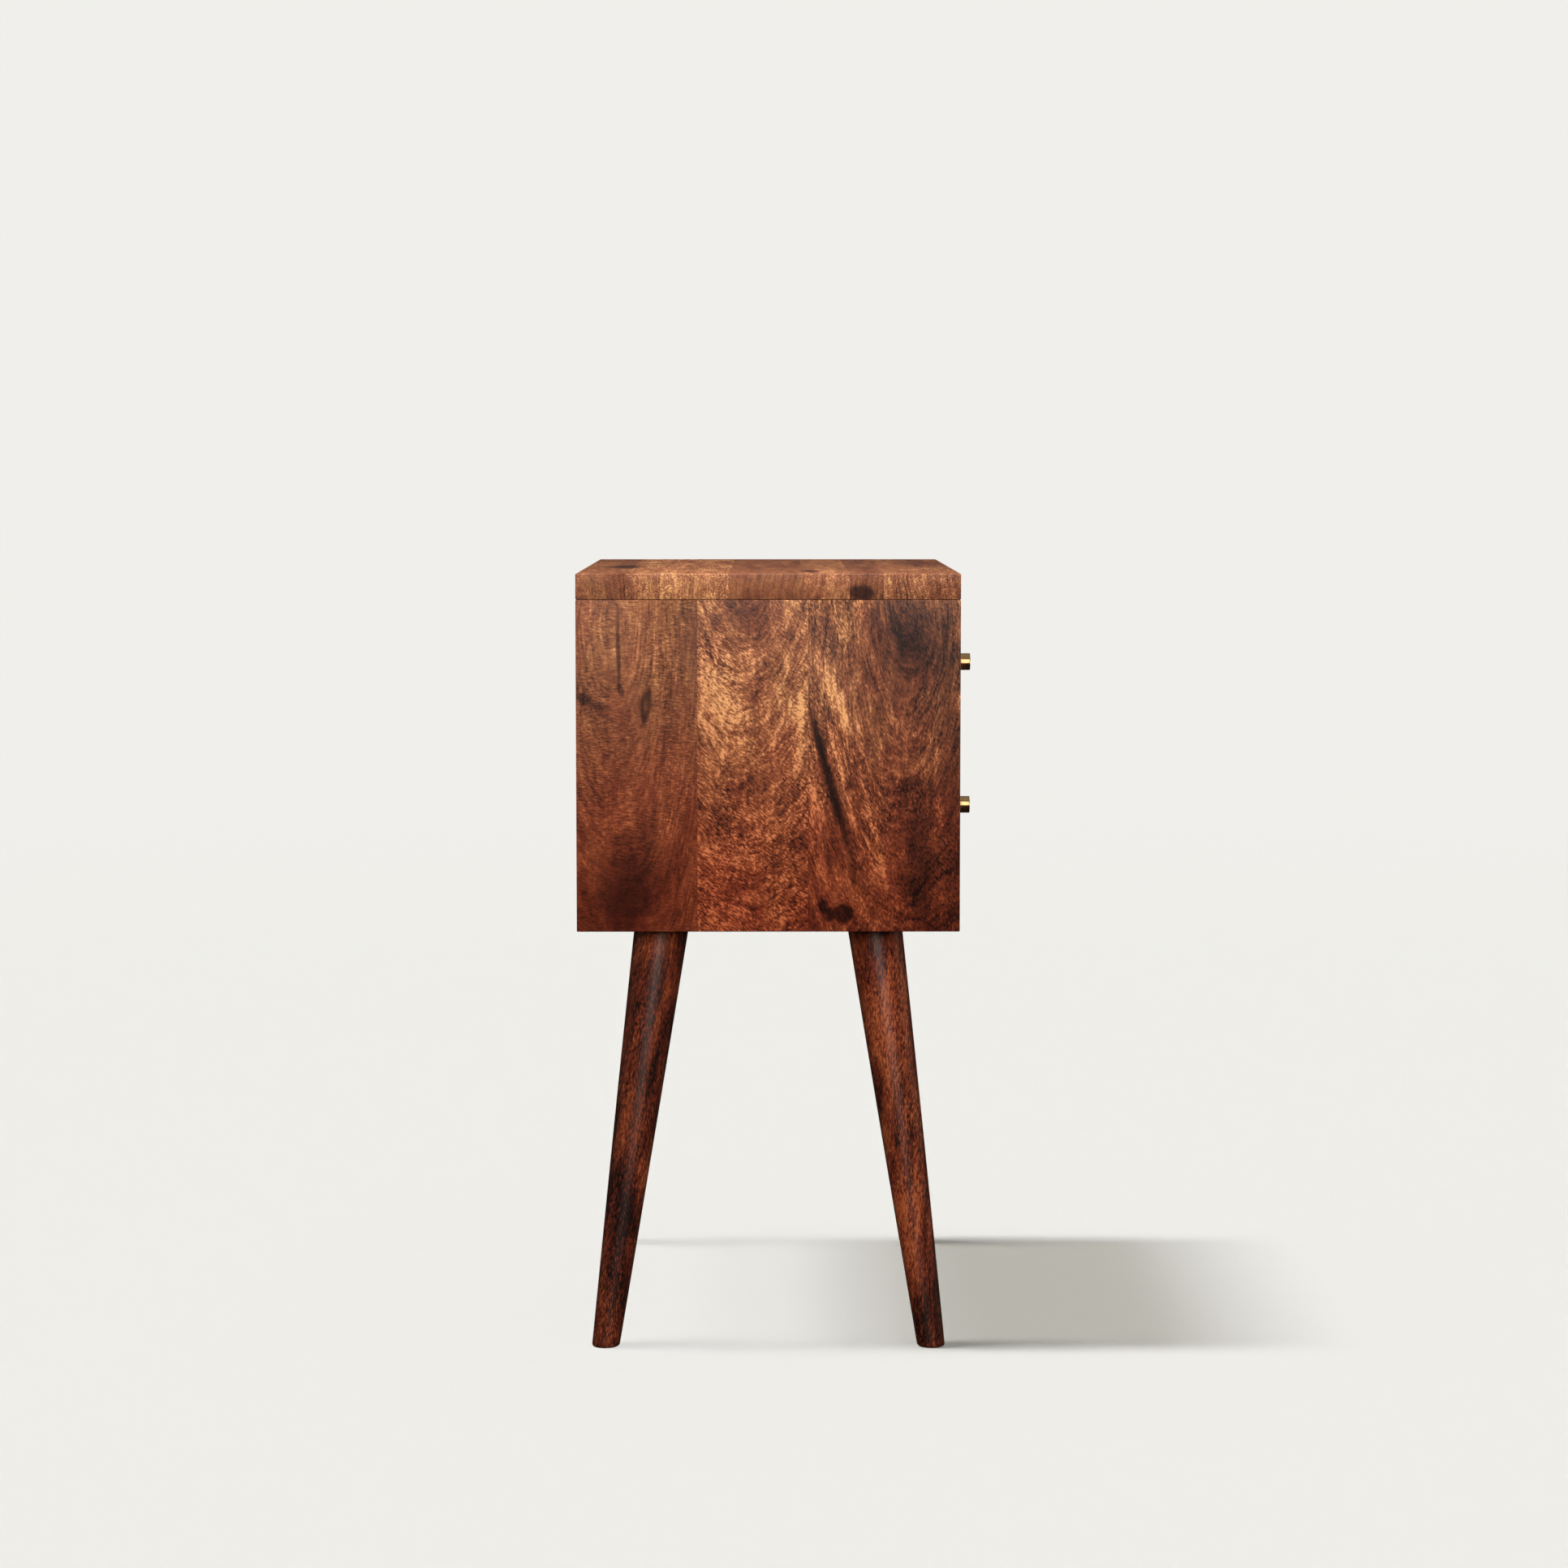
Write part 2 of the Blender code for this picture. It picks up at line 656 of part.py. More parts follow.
def build_drawer_side(level, direction, axis, wood):
    name = "drawer_side_" + level + "_" + side_name(direction)
    end = BOARD + DRAWER_LENGTH
    mesh = outline_mesh(name, side_outline(), DRAWER_WALL)
    place = (direction * (DRAWER_HALF - DRAWER_WALL / 2), 0, 0)
    side = link_piece(name, mesh, wood, axis, place, UPRIGHT)

    # groove for the runner, open at the back; its blind end stops the drawer when it shuts
    x_low, x_high = x_span(direction, DRAWER_HALF - RUNNER_GROOVE, DRAWER_HALF + OVERCUT)
    half = RUNNER_HEIGHT / 2 + RUNNER_PLAY
    middle = FRONT_HEIGHT / 2
    cut_box(
        side,
        (x_low, BOARD + GROOVE_STOP, middle - half),
        (x_high, end + OVERCUT, middle + half),
    )

    # groove for the ply, through the lowest dovetail and on to the back
    inner = DRAWER_HALF - DRAWER_WALL
    x_low, x_high = x_span(direction, inner - OVERCUT, inner + PLY_GROOVE)
    ply_low = DRAWER_LIFT + PLY_RISE - GLUE_GAP
    cut_box(
        side,
        (x_low, BOARD - PLY_GROOVE, ply_low),
        (x_high, end + OVERCUT, ply_low + DRAWER_PLY + 2 * GLUE_GAP),
    )

    # housing for the drawer back, open at the top
    x_low, x_high = x_span(direction, inner - OVERCUT, inner + BACK_HOUSING)
    cut_box(
        side,
        (x_low, end - DRAWER_WALL - GLUE_GAP, ply_low),
        (x_high, end + OVERCUT, DRAWER_LIFT + SIDE_HEIGHT + OVERCUT),
    )


def build_drawer_back(level, axis, wood):
    reach = DRAWER_HALF - DRAWER_WALL + BACK_HOUSING - GLUE_GAP
    end = BOARD + DRAWER_LENGTH
    low = DRAWER_LIFT + PLY_RISE + DRAWER_PLY + GLUE_GAP
    high = DRAWER_LIFT + SIDE_HEIGHT
    back = board(
        "drawer_back_" + level,
        (-reach, end - DRAWER_WALL, low),
        (reach, end, high),
        wood,
        axis,
    )
    hole = (0, end - DRAWER_WALL + STOP_SCREW_BITE + HOLE_END, pivot_height())
    cut_hole(back, SCREW_RADIUS + SCREW_GAP, STOP_SCREW_BITE + HOLE_END + OVERCUT, hole, (pi / 2, 0, 0))


def build_drawer_bottom(level, axis, wood):
    reach = DRAWER_HALF - DRAWER_WALL + PLY_GROOVE - GLUE_GAP
    low = DRAWER_LIFT + PLY_RISE
    board(
        "drawer_bottom_" + level,
        (-reach, BOARD - PLY_GROOVE + GLUE_GAP, low),
        (reach, BOARD + DRAWER_LENGTH, low + DRAWER_PLY),
        wood,
        axis,
    )


def pivot_height():
    return DRAWER_LIFT + SIDE_HEIGHT + BUTTON_RISE - BUTTON_LENGTH / 2


def knob_outline():
    """Knob along +Z from the drawer front, with a blind hole for its screw."""
    hole = SCREW_RADIUS + SCREW_GAP
    neck_top = KNOB_REACH - KNOB_HEAD_LENGTH
    return [
        (0, KNOB_REACH),
        (KNOB_RADIUS - KNOB_EDGE, KNOB_REACH),
        (KNOB_RADIUS, KNOB_REACH - KNOB_EDGE),
        (KNOB_RADIUS, neck_top + KNOB_EDGE),
        (KNOB_RADIUS - KNOB_EDGE, neck_top),
        (KNOB_NECK_RADIUS, neck_top),
        (KNOB_NECK_RADIUS, GLUE_GAP),
        (hole, GLUE_GAP),
        (hole, KNOB_SCREW_BITE + HOLE_END),
        (0, KNOB_SCREW_BITE + HOLE_END),
    ]


def pan_screw_outline(shank):
    """Screw along +Z: its head is below z = 0 and its shank above."""
    return [
        (0, shank),
        (SCREW_RADIUS, shank),
        (SCREW_RADIUS, 0),
        (SCREW_HEAD_RADIUS, 0),
        (SCREW_HEAD_RADIUS, -SCREW_HEAD_HEIGHT * 0.6),
        (SCREW_HEAD_RADIUS * 0.6, -SCREW_HEAD_HEIGHT),
        (0, -SCREW_HEAD_HEIGHT),
    ]


def build_knob(level, axis, brass, steel):
    outward = (pi / 2, 0, 0)
    middle = FRONT_HEIGHT / 2
    name = "knob_" + level
    knob = link_piece(name, turned_mesh(name, knob_outline()), brass, axis, (0, 0, middle), outward)
    turn(knob, KNOB_STEPS)
    name = "knob_screw_" + level
    mesh = turned_mesh(name, pan_screw_outline(BOARD + GLUE_GAP + KNOB_SCREW_BITE))
    turn(link_piece(name, mesh, steel, axis, (0, BOARD + GLUE_GAP, middle), outward))


def build_stop(level, axis, wood, steel):
    """Turn button on the inner face of the drawer back: up, it catches the rail."""
    face = BOARD + DRAWER_LENGTH - DRAWER_WALL - GLUE_GAP
    pivot = joint_empty("stop_axis_" + level, (0, face, pivot_height()), axis)
    half = BUTTON_WIDTH / 2
    button = board(
        "stop_button_" + level,
        (-half, -BUTTON_THICKNESS, -BUTTON_LENGTH / 2),
        (half, 0, BUTTON_LENGTH / 2),
        wood,
        pivot,
    )
    across = (pi / 2, 0, 0)
    through = BUTTON_THICKNESS + 2 * OVERCUT
    cut_hole(button, SCREW_RADIUS + PIVOT_PLAY, through, (0, OVERCUT, 0), across)
    name = "stop_screw_" + level
    shank = BUTTON_THICKNESS + 2 * GLUE_GAP + STOP_SCREW_BITE
    mesh = turned_mesh(name, pan_screw_outline(shank))
    place = (0, face - BUTTON_THICKNESS - GLUE_GAP, pivot_height())
    turn(link_piece(name, mesh, steel, axis, place, (-pi / 2, 0, 0)))


def build_drawer(level, index, woods, brass, steel):
    axis = joint_empty("drawer_axis_" + level, (0, FRONT_Y, drawer_base(index)))
    build_drawer_front(level, axis, woods["box"])
    for direction in (-1, 1):
        build_drawer_side(level, direction, axis, woods["drawer"])
    build_drawer_back(level, axis, woods["drawer"])
    build_drawer_bottom(level, axis, woods["ply"])
    build_knob(level, axis, brass, steel)
    build_stop(level, axis, woods["drawer"], steel)


# ---------------------------------------------------------------- the whole piece

def main():
    clear_scene()
    new_collection(PARTS)
    new_collection(CUTTERS)
    woods = {
        "box": material("chestnut_wood", (0.30, 0.11, 0.054), 0.45),
        "leg": material("leg_wood", (0.115, 0.030, 0.016), 0.40),
        "drawer": material("drawer_wood", (0.44, 0.24, 0.11), 0.60),
        "ply": material("plywood", (0.56, 0.37, 0.19), 0.65),
    }
    brass = material("brass", (0.78, 0.53, 0.24), 0.30, 1.0)
    steel = material("steel", (0.55, 0.56, 0.58), 0.35, 1.0)

    build_top(woods["box"])
    build_bottom(woods["box"])
    build_back(woods["ply"])
    build_rails(woods["box"])
    for direction in (-1, 1):
        build_side(direction, woods["box"])
        build_dowels(direction, woods["drawer"])
        build_runners(direction, woods["drawer"])
    for corner in leg_corners():
        build_leg(*corner, woods["leg"], steel)
    for index, level in enumerate(("lower", "upper")):
        build_drawer(level, index, woods, brass, steel)


main()
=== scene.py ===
# %% [markdown]
# # A two-drawer nightstand on splayed legs
# The design, with its joints and sizes, comes from the frame. This lesson gives every piece the
# surface of the real one: boards glued up from staves with eased edges, turned legs, brass
# knobs, and a stained, lacquered mango wood that is the same all the way through a board.

# %% Load the frame
import math
import random

import bmesh
import bpy
from mathutils import Matrix, Vector


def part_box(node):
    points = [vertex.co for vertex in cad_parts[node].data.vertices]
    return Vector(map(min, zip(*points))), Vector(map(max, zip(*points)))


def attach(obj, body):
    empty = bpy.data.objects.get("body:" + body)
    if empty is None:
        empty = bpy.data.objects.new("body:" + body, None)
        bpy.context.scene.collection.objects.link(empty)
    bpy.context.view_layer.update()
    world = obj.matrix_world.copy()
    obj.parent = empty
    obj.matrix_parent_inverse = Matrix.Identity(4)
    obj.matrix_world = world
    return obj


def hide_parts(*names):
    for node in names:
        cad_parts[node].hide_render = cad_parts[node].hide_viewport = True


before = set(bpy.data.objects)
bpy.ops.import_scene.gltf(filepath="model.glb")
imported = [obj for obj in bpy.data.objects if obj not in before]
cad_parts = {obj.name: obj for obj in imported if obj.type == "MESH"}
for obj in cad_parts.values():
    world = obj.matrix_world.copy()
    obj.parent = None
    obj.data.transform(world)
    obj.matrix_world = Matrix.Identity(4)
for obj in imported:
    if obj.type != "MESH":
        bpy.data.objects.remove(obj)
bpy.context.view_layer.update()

print("frame loaded:", len(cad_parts), "nodes")

# %% [markdown]
# ## Sizes that the pieces share
# A cabinet maker reads sizes off the finished carcass. Here they are read off the frame's own
# boxes, and most of the places below are worked out from them. X runs across the front, Y from
# front to back and Z upwards.

# %% Read the carcass
top_low, top_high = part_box("top_panel")
side_low, side_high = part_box("side_panel_left")
bottom_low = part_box("bottom_panel")[0]
middle_y = (top_low.y + top_high.y) / 2
box_width = top_high.x - top_low.x
box_depth = top_high.y - top_low.y
X_AXIS, Y_AXIS, Z_AXIS = 0, 1, 2
LEVELS = ("lower", "upper")
SIDES = ("left", "right")
CORNERS = [end + "_" + side for end in ("front", "rear") for side in SIDES]
print("box", round(box_width, 3), "wide and", round(box_depth, 3), "deep")

# %% [markdown]
# ## A few short words for building shaders
# A node tree could be wired by hand, one link at a time. Small helpers that take numbers and
# sockets alike make the recipe of a finish readable from top to bottom.

# %% Wiring helpers
def feed(tree, socket, value):
    if isinstance(value, bpy.types.NodeSocket):
        tree.links.new(value, socket)
    else:
        socket.default_value = value


def add(tree, kind, inputs=(), **settings):
    made = tree.nodes.new("ShaderNode" + kind)
    for name, value in settings.items():
        setattr(made, name, value)
    for name, value in dict(inputs).items():
        feed(tree, made.inputs[name], value)
    return made


def calc(tree, operation, *values):
    made = add(tree, "Math", operation=operation)
    for socket, value in zip(made.inputs, values):
        feed(tree, socket, value)
    return made.outputs[0]


def vector(tree, operation, *values):
    made = add(tree, "VectorMath", operation=operation)
    for socket, value in zip(made.inputs, values):
        feed(tree, socket, value)
    return made.outputs["Value" if operation == "LENGTH" else "Vector"]


print("wiring helpers:", [helper.__name__ for helper in (feed, add, calc, vector)])

# %% [markdown]
# ## Noise, steps and colours
# Wood is drawn out along the trunk, so its noise is too: one axis is squeezed before the noise is
# looked up. A step maps a value to a share, and a ramp turns a share into a colour.

# %% Pattern helpers
def noise(tree, place, scale, stretch=(1, 1, 1), detail=2.0, roughness=0.5, colour=False):
    """Noise that is drawn out where stretch is small. Colour gives three noises at once."""
    drawn = vector(tree, "MULTIPLY", place, stretch)
    inputs = {"Vector": drawn, "Scale": scale, "Detail": detail, "Roughness": roughness}
    made = add(tree, "TexNoise", inputs, normalize=True)
    return made.outputs["Color" if colour else "Fac"]


def rise(tree, value, low, high, to_low=0.0, to_high=1.0, smooth=True):
    """Maps low..high to to_low..to_high and holds the ends."""
    inputs = {"From Min": low, "From Max": high, "To Min": to_low, "To Max": to_high}
    kind = "SMOOTHSTEP" if smooth else "LINEAR"
    made = add(tree, "MapRange", inputs, interpolation_type=kind)
    feed(tree, made.inputs["Value"], value)
    return made.outputs["Result"]


def ramp(tree, share, stops):
    made = add(tree, "ValToRGB")
    elements = made.color_ramp.elements
    for place, _ in stops[2:]:
        elements.new(place)
    for element, (place, colour) in zip(elements, stops):
        element.position = place
        element.color = (*colour, 1.0)
    feed(tree, made.inputs["Fac"], share)
    return made.outputs["Color"]


def blend(tree, share, first, second, mode="MIX"):
    made = add(tree, "Mix", data_type="RGBA", blend_type=mode)
    feed(tree, made.inputs["Factor"], share)
    feed(tree, made.inputs[6], first)
    feed(tree, made.inputs[7], second)
    return made.outputs[2]


print("pattern helpers:", [helper.__name__ for helper in (noise, rise, ramp, blend)])

# %% [markdown]
# ## Groups and materials
# A pattern that several finishes share is kept in a node group, as one jig serves many cuts. Each
# finish is a Principled shader, and what is the same all over it sits on the shader's own socket.

# %% Group and material helpers
def new_group(name, inputs, outputs):
    """An empty node group with float and vector sockets, and its input and output nodes."""
    tree = bpy.data.node_groups.new(name, "ShaderNodeTree")
    for label, kind in inputs:
        tree.interface.new_socket(label, in_out="INPUT", socket_type="NodeSocket" + kind)
    for label, kind in outputs:
        tree.interface.new_socket(label, in_out="OUTPUT", socket_type="NodeSocket" + kind)
    return tree, tree.nodes.new("NodeGroupInput"), tree.nodes.new("NodeGroupOutput")


def use_group(tree, group, inputs):
    made = tree.nodes.new("ShaderNodeGroup")
    made.node_tree = group
    for name, value in inputs.items():
        feed(tree, made.inputs[name], value)
    return made


def new_finish(name, roughness=0.5, metallic=0.0, **settings):
    """A material with a Principled shader, whose constant values sit on its own sockets."""
    made = bpy.data.materials.new(name)
    made.use_nodes = True
    shader = made.node_tree.nodes["Principled BSDF"]
    shader.inputs["Roughness"].default_value = roughness
    shader.inputs["Metallic"].default_value = metallic
    for label, value in settings.items():
        shader.inputs[label.replace("_", " ")].default_value = value
    return made, made.node_tree, shader


print("group helpers:", [helper.__name__ for helper in (new_group, use_group, new_finish)])

# %% [markdown]
# ## Wood as a solid
# A flat picture of wood slides round corners and never matches on the end of a board. A tree is
# a set of nested cones, so the figure is worked out in the tree's own space: how far a point
# lies from the pith, bent a little by slow noise. Each stave carries that space with it as an
# attribute called "grain" (depth, across and along the trunk, in metres), and a board cut
# through it shows arches on its face, straight lines on its edge and arcs on its end.

# %% The figure of mango wood
def build_figure_group():
    tree, given, result = new_group(
        "mango_figure",
        [("Grain", "Vector"), ("Slant", "Float")],
        [("Band", "Float"), ("Line", "Float"), ("Vein", "Float"), ("Cloud", "Float"),
         ("Streak", "Float"), ("Fleck", "Float"), ("Fibre", "Float"), ("Pore", "Float"),
         ("Hue", "Float")],
    )
    grain = given.outputs["Grain"]
    centred = (0.5, 0.5, 0.5)

    def give(label, value):
        tree.links.new(value, result.inputs[label])

    slow = noise(tree, grain, 13.0, (1, 1, 0.35), 2.0, colour=True)
    slow = vector(tree, "MULTIPLY", vector(tree, "SUBTRACT", slow, centred), (0.020, 0.020, 0))
    quick = noise(tree, grain, 90.0, (1, 1, 0.5), 2.0, colour=True)
    quick = vector(tree, "MULTIPLY", vector(tree, "SUBTRACT", quick, centred), (0.0030, 0.0030, 0))
    bent = vector(tree, "ADD", vector(tree, "ADD", grain, slow), quick)

    # Noise drawn out along the rings: thin across them, long round them and up the trunk.
    parts = add(tree, "SeparateXYZ", {"Vector": bent})
    from_pith = vector(tree, "LENGTH", vector(tree, "MULTIPLY", bent, (1, 1, 0)))
    ringed = add(tree, "CombineXYZ", {"X": from_pith, "Z": parts.outputs["Z"]})
    feed(tree, ringed.inputs["Y"], parts.outputs["Y"])
    ringed = ringed.outputs["Vector"]
    give("Band", noise(tree, ringed, 120.0, (1, 0.10, 0.07), 2.0, 0.5))
    give("Line", noise(tree, ringed, 600.0, (1, 0.10, 0.08), 3.0, 0.60))
    crossing = noise(tree, ringed, 260.0, (1, 0.09, 0.07), 2.0, 0.55)
    crossing = calc(tree, "ABSOLUTE", calc(tree, "SUBTRACT", crossing, 0.5))
    vein = rise(tree, crossing, 0.0, 0.060, 1.0, 0.0)
    here = rise(tree, noise(tree, bent, 30.0, (1, 1, 0.5), 1.0), 0.40, 0.62)
    give("Vein", calc(tree, "MULTIPLY", vein, here))

    give("Cloud", noise(tree, bent, 18.0, (1, 1, 0.45), 3.0, 0.55))
    give("Streak", noise(tree, bent, 170.0, (1, 1, 0.05), 3.0, 0.6))
    give("Hue", noise(tree, bent, 32.0, (1, 1, 0.3), 3.0, 0.6))
    give("Fibre", noise(tree, bent, 1300.0, (1, 1, 0.03), 2.0))
    pore = noise(tree, bent, 900.0, (1, 1, 0.16), 1.0)
    give("Pore", rise(tree, pore, 0.60, 0.74))

    # The flecks of interlocked grain lie aslant to the trunk, some patches of them stronger.
    aslant = add(tree, "VectorRotate", {"Vector": bent}, rotation_type="X_AXIS")
    feed(tree, aslant.inputs["Angle"], given.outputs["Slant"])
    fleck = noise(tree, aslant.outputs["Vector"], 820.0, (1, 1, 0.30), 2.0, 0.65)
    strong = rise(tree, noise(tree, bent, 24.0, (1, 1, 0.5), 2.0), 0.36, 0.64, 0.75, 1.25)
    fleck = calc(tree, "MULTIPLY", calc(tree, "SUBTRACT", fleck, 0.5), strong)
    give("Fleck", calc(tree, "ADD", fleck, 0.5))
    return tree


mango_figure = build_figure_group()
print("figure group:", len(mango_figure.nodes), "nodes")

# %% [markdown]
# ## Heart patches, knots and mineral streaks
# Mango heartwood has near-black patches and streaks that follow no ring. They could be painted
# on, but they belong to the wood, so each is a soft lens in space: a centre, three half lengths
# and a slope, with an edge that noise has frayed along the grain.

# %% One heart patch
def build_patch_group():
    tree, given, result = new_group(
        "heart_patch",
        [("Place", "Vector"), ("Fray", "Vector"), ("Centre", "Vector"), ("Size", "Vector"),
         ("Slope", "Float"), ("Edge", "Float")],
        [("Share", "Float")],
    )
    away = vector(tree, "SUBTRACT", given.outputs["Place"], given.outputs["Centre"])
    parts = add(tree, "SeparateXYZ", {"Vector": away})
    slid = calc(tree, "MULTIPLY", parts.outputs["Z"], given.outputs["Slope"])
    level = calc(tree, "SUBTRACT", parts.outputs["Y"], slid)
    joined = add(tree, "CombineXYZ", {"X": parts.outputs["X"], "Y": level, "Z": parts.outputs["Z"]})
    scaled = vector(tree, "DIVIDE", joined.outputs["Vector"], given.outputs["Size"])
    hard = calc(tree, "SUBTRACT", 1.15, given.outputs["Edge"])
    fray = vector(tree, "MULTIPLY", given.outputs["Fray"], hard)
    frayed = vector(tree, "ADD", scaled, fray)
    reach = vector(tree, "LENGTH", frayed)
    inner = calc(tree, "SUBTRACT", 1.0, given.outputs["Edge"])
    share = rise(tree, reach, inner, 1.15, 1.0, 0.0)
    tree.links.new(share, result.inputs["Share"])
    return tree


heart_patch = build_patch_group()
print("patch group:", len(heart_patch.nodes), "nodes")

# %% [markdown]
# ## The stain
# Stained mango runs from gold through rust to near black. A ramp turns one darkness value into
# that range. The legs are stained darker than the box, and the drawers' inner wood is only waxed.

# %% Stain ramps
CHESTNUT = [
    (0.00, (0.960, 0.500, 0.225)),
    (0.12, (0.690, 0.315, 0.140)),
    (0.28, (0.425, 0.168, 0.077)),
    (0.50, (0.245, 0.084, 0.042)),
    (0.75, (0.105, 0.038, 0.024)),
    (1.00, (0.020, 0.011, 0.009)),
]
LEG_STAIN = [
    (0.00, (0.560, 0.170, 0.064)),
    (0.30, (0.300, 0.072, 0.032)),
    (0.55, (0.150, 0.032, 0.016)),
    (0.80, (0.050, 0.013, 0.009)),
    (1.00, (0.010, 0.004, 0.003)),
]
WAXED = [
    (0.00, (0.760, 0.500, 0.290)),
    (0.50, (0.580, 0.335, 0.175)),
    (1.00, (0.300, 0.135, 0.060)),
]
print("stain stops:", len(CHESTNUT), "chestnut,", len(LEG_STAIN), "legs,", len(WAXED), "wax")

# %% [markdown]
# ## One darkness
# Stain could be mixed for each part of the figure by itself. Here every part only adds to or takes
# from one darkness, as one coat of stain takes more or less in the same board.

# %% Darkness helpers
def figure_sum(tree, figure, weights):
    """Sum of the figure's parts, each centred and weighted."""
    total = 0.0
    for label, weight in weights.items():
        centre = 0.0 if label == "Vein" else 0.5
        part = calc(tree, "SUBTRACT", figure.outputs[label], centre)
        total = calc(tree, "MULTIPLY_ADD", part, weight, total)
    return total


def stain_of_patches(tree, place, patches):
    """Sum of the heart patches at a place, with their edges frayed along the grain."""
    fray = noise(tree, place, 110.0, (1, 1, 0.35), 3.0, 0.6, colour=True)
    fray = vector(tree, "MULTIPLY", vector(tree, "SUBTRACT", fray, (0.5, 0.5, 0.5)), (0, 2.2, 1.6))
    stain = 0.0
    for centre, size, slope, edge, strength in patches:
        inputs = {
            "Place": place, "Fray": fray, "Centre": centre, "Size": size, "Slope": slope, "Edge": edge
        }
        share = use_group(tree, heart_patch, inputs).outputs["Share"]
        stain = calc(tree, "MULTIPLY_ADD", share, strength, stain)
    return stain


print("darkness helpers:", figure_sum.__name__, stain_of_patches.__name__)

# %% [markdown]
# ## One recipe for every wood
# The darkness goes through the ramp. Each stave also brings its own "look": its tone, how lively
# its figure is, and the slant of its flecks. The hue drifts between rust and gold, and some boards
# turn darker and redder downwards.

# %% Wood recipe
HUE_TINTS = [(0.36, (0.96, 0.84, 0.80)), (0.64, (1.05, 1.08, 0.96))]
REDDENING = (1.14, 0.60, 0.53, 1.0)
PORE_COLOUR = (0.012, 0.006, 0.005, 1.0)
PORE_SHARE = 0.30
PORE_DEPTH = 0.0002


def build_wood(name, stops, weights, roughness, patches=(), redder=None, coat=0.05, gold=1.0):
    """A wood finish. redder gives the heights between which the downward darkening and reddening
    fades out.
    """
    finish, tree, shader = new_finish(
        name, roughness, Coat_Weight=coat, Coat_Roughness=0.32, Specular_IOR_Level=0.25
    )
    grain = add(tree, "Attribute", attribute_name="grain").outputs["Vector"]
    look = add(tree, "Attribute", attribute_name="look").outputs["Vector"]
    look = add(tree, "SeparateXYZ", {"Vector": look}).outputs
    tone, life, slant = look["X"], look["Y"], look["Z"]
    figure = use_group(tree, mango_figure, {"Grain": grain, "Slant": slant})
    place = add(tree, "TexCoord").outputs["Object"]

    # Dark heartwood hides its figure, and a dark stave shows less of it than a light one.
    stain = stain_of_patches(tree, place, patches)
    calm = rise(tree, stain, 0.0, 0.55, 1.0, 0.30, smooth=False)
    lively = calc(tree, "MULTIPLY", life, calm)
    gain = calc(tree, "MULTIPLY", calc(tree, "SUBTRACT", 1.7, tone), lively)
    darkness = calc(tree, "MULTIPLY_ADD", figure_sum(tree, figure, weights), gain, tone)
    darkness = calc(tree, "ADD", darkness, stain)
    colour = ramp(tree, darkness, stops)
    tint = ramp(tree, figure.outputs["Hue"], HUE_TINTS)
    colour = blend(tree, gold, colour, tint, "MULTIPLY")
    # Darker and redder towards the bottom: below the heights in redder the colour is multiplied by
    # REDDENING.
    if redder:
        height = add(tree, "SeparateXYZ", {"Vector": place}).outputs["Z"]
        colour = blend(tree, rise(tree, height, *redder, 1.0, 0.0), colour, REDDENING, "MULTIPLY")
    pores = calc(tree, "MULTIPLY", figure.outputs["Pore"], PORE_SHARE)
    colour = blend(tree, pores, colour, PORE_COLOUR)
    tree.links.new(colour, shader.inputs["Base Color"])

    relief = calc(tree, "MULTIPLY_ADD", figure.outputs["Pore"], -1.0, figure.outputs["Fibre"])
    bump = add(tree, "Bump", {"Strength": 0.25, "Distance": PORE_DEPTH, "Height": relief})
    tree.links.new(bump.outputs["Normal"], shader.inputs["Normal"])
    gloss = calc(tree, "MULTIPLY_ADD", figure.outputs["Streak"], 0.16, roughness - 0.08)
    tree.links.new(gloss, shader.inputs["Roughness"])
    return finish


print("wood recipe ready")

# %% [markdown]
# ## How strongly each part of the figure shows
# Mango box boards are chosen for their figure, plain inner boards are not, and on a thin leg
# broad clouds show more than lines do. The weights say so in one place.

# %% Figure weights
BOX_WEIGHTS = {
    "Band": 0.52, "Line": 0.72, "Vein": 0.18, "Cloud": 0.38,
    "Streak": 0.72, "Fleck": 1.32, "Fibre": 0.15,
}
PLAIN_WEIGHTS = {
    "Band": 0.40, "Line": 0.30, "Vein": 0.06, "Cloud": 0.30,
    "Streak": 0.30, "Fleck": 0.20, "Fibre": 0.14,
}
LEG_WEIGHTS = {
    "Band": 0.90, "Line": 0.35, "Vein": 0.15, "Cloud": 1.40,
    "Streak": 0.70, "Fleck": 1.90, "Fibre": 0.15,
}

print("figure weights:", BOX_WEIGHTS)
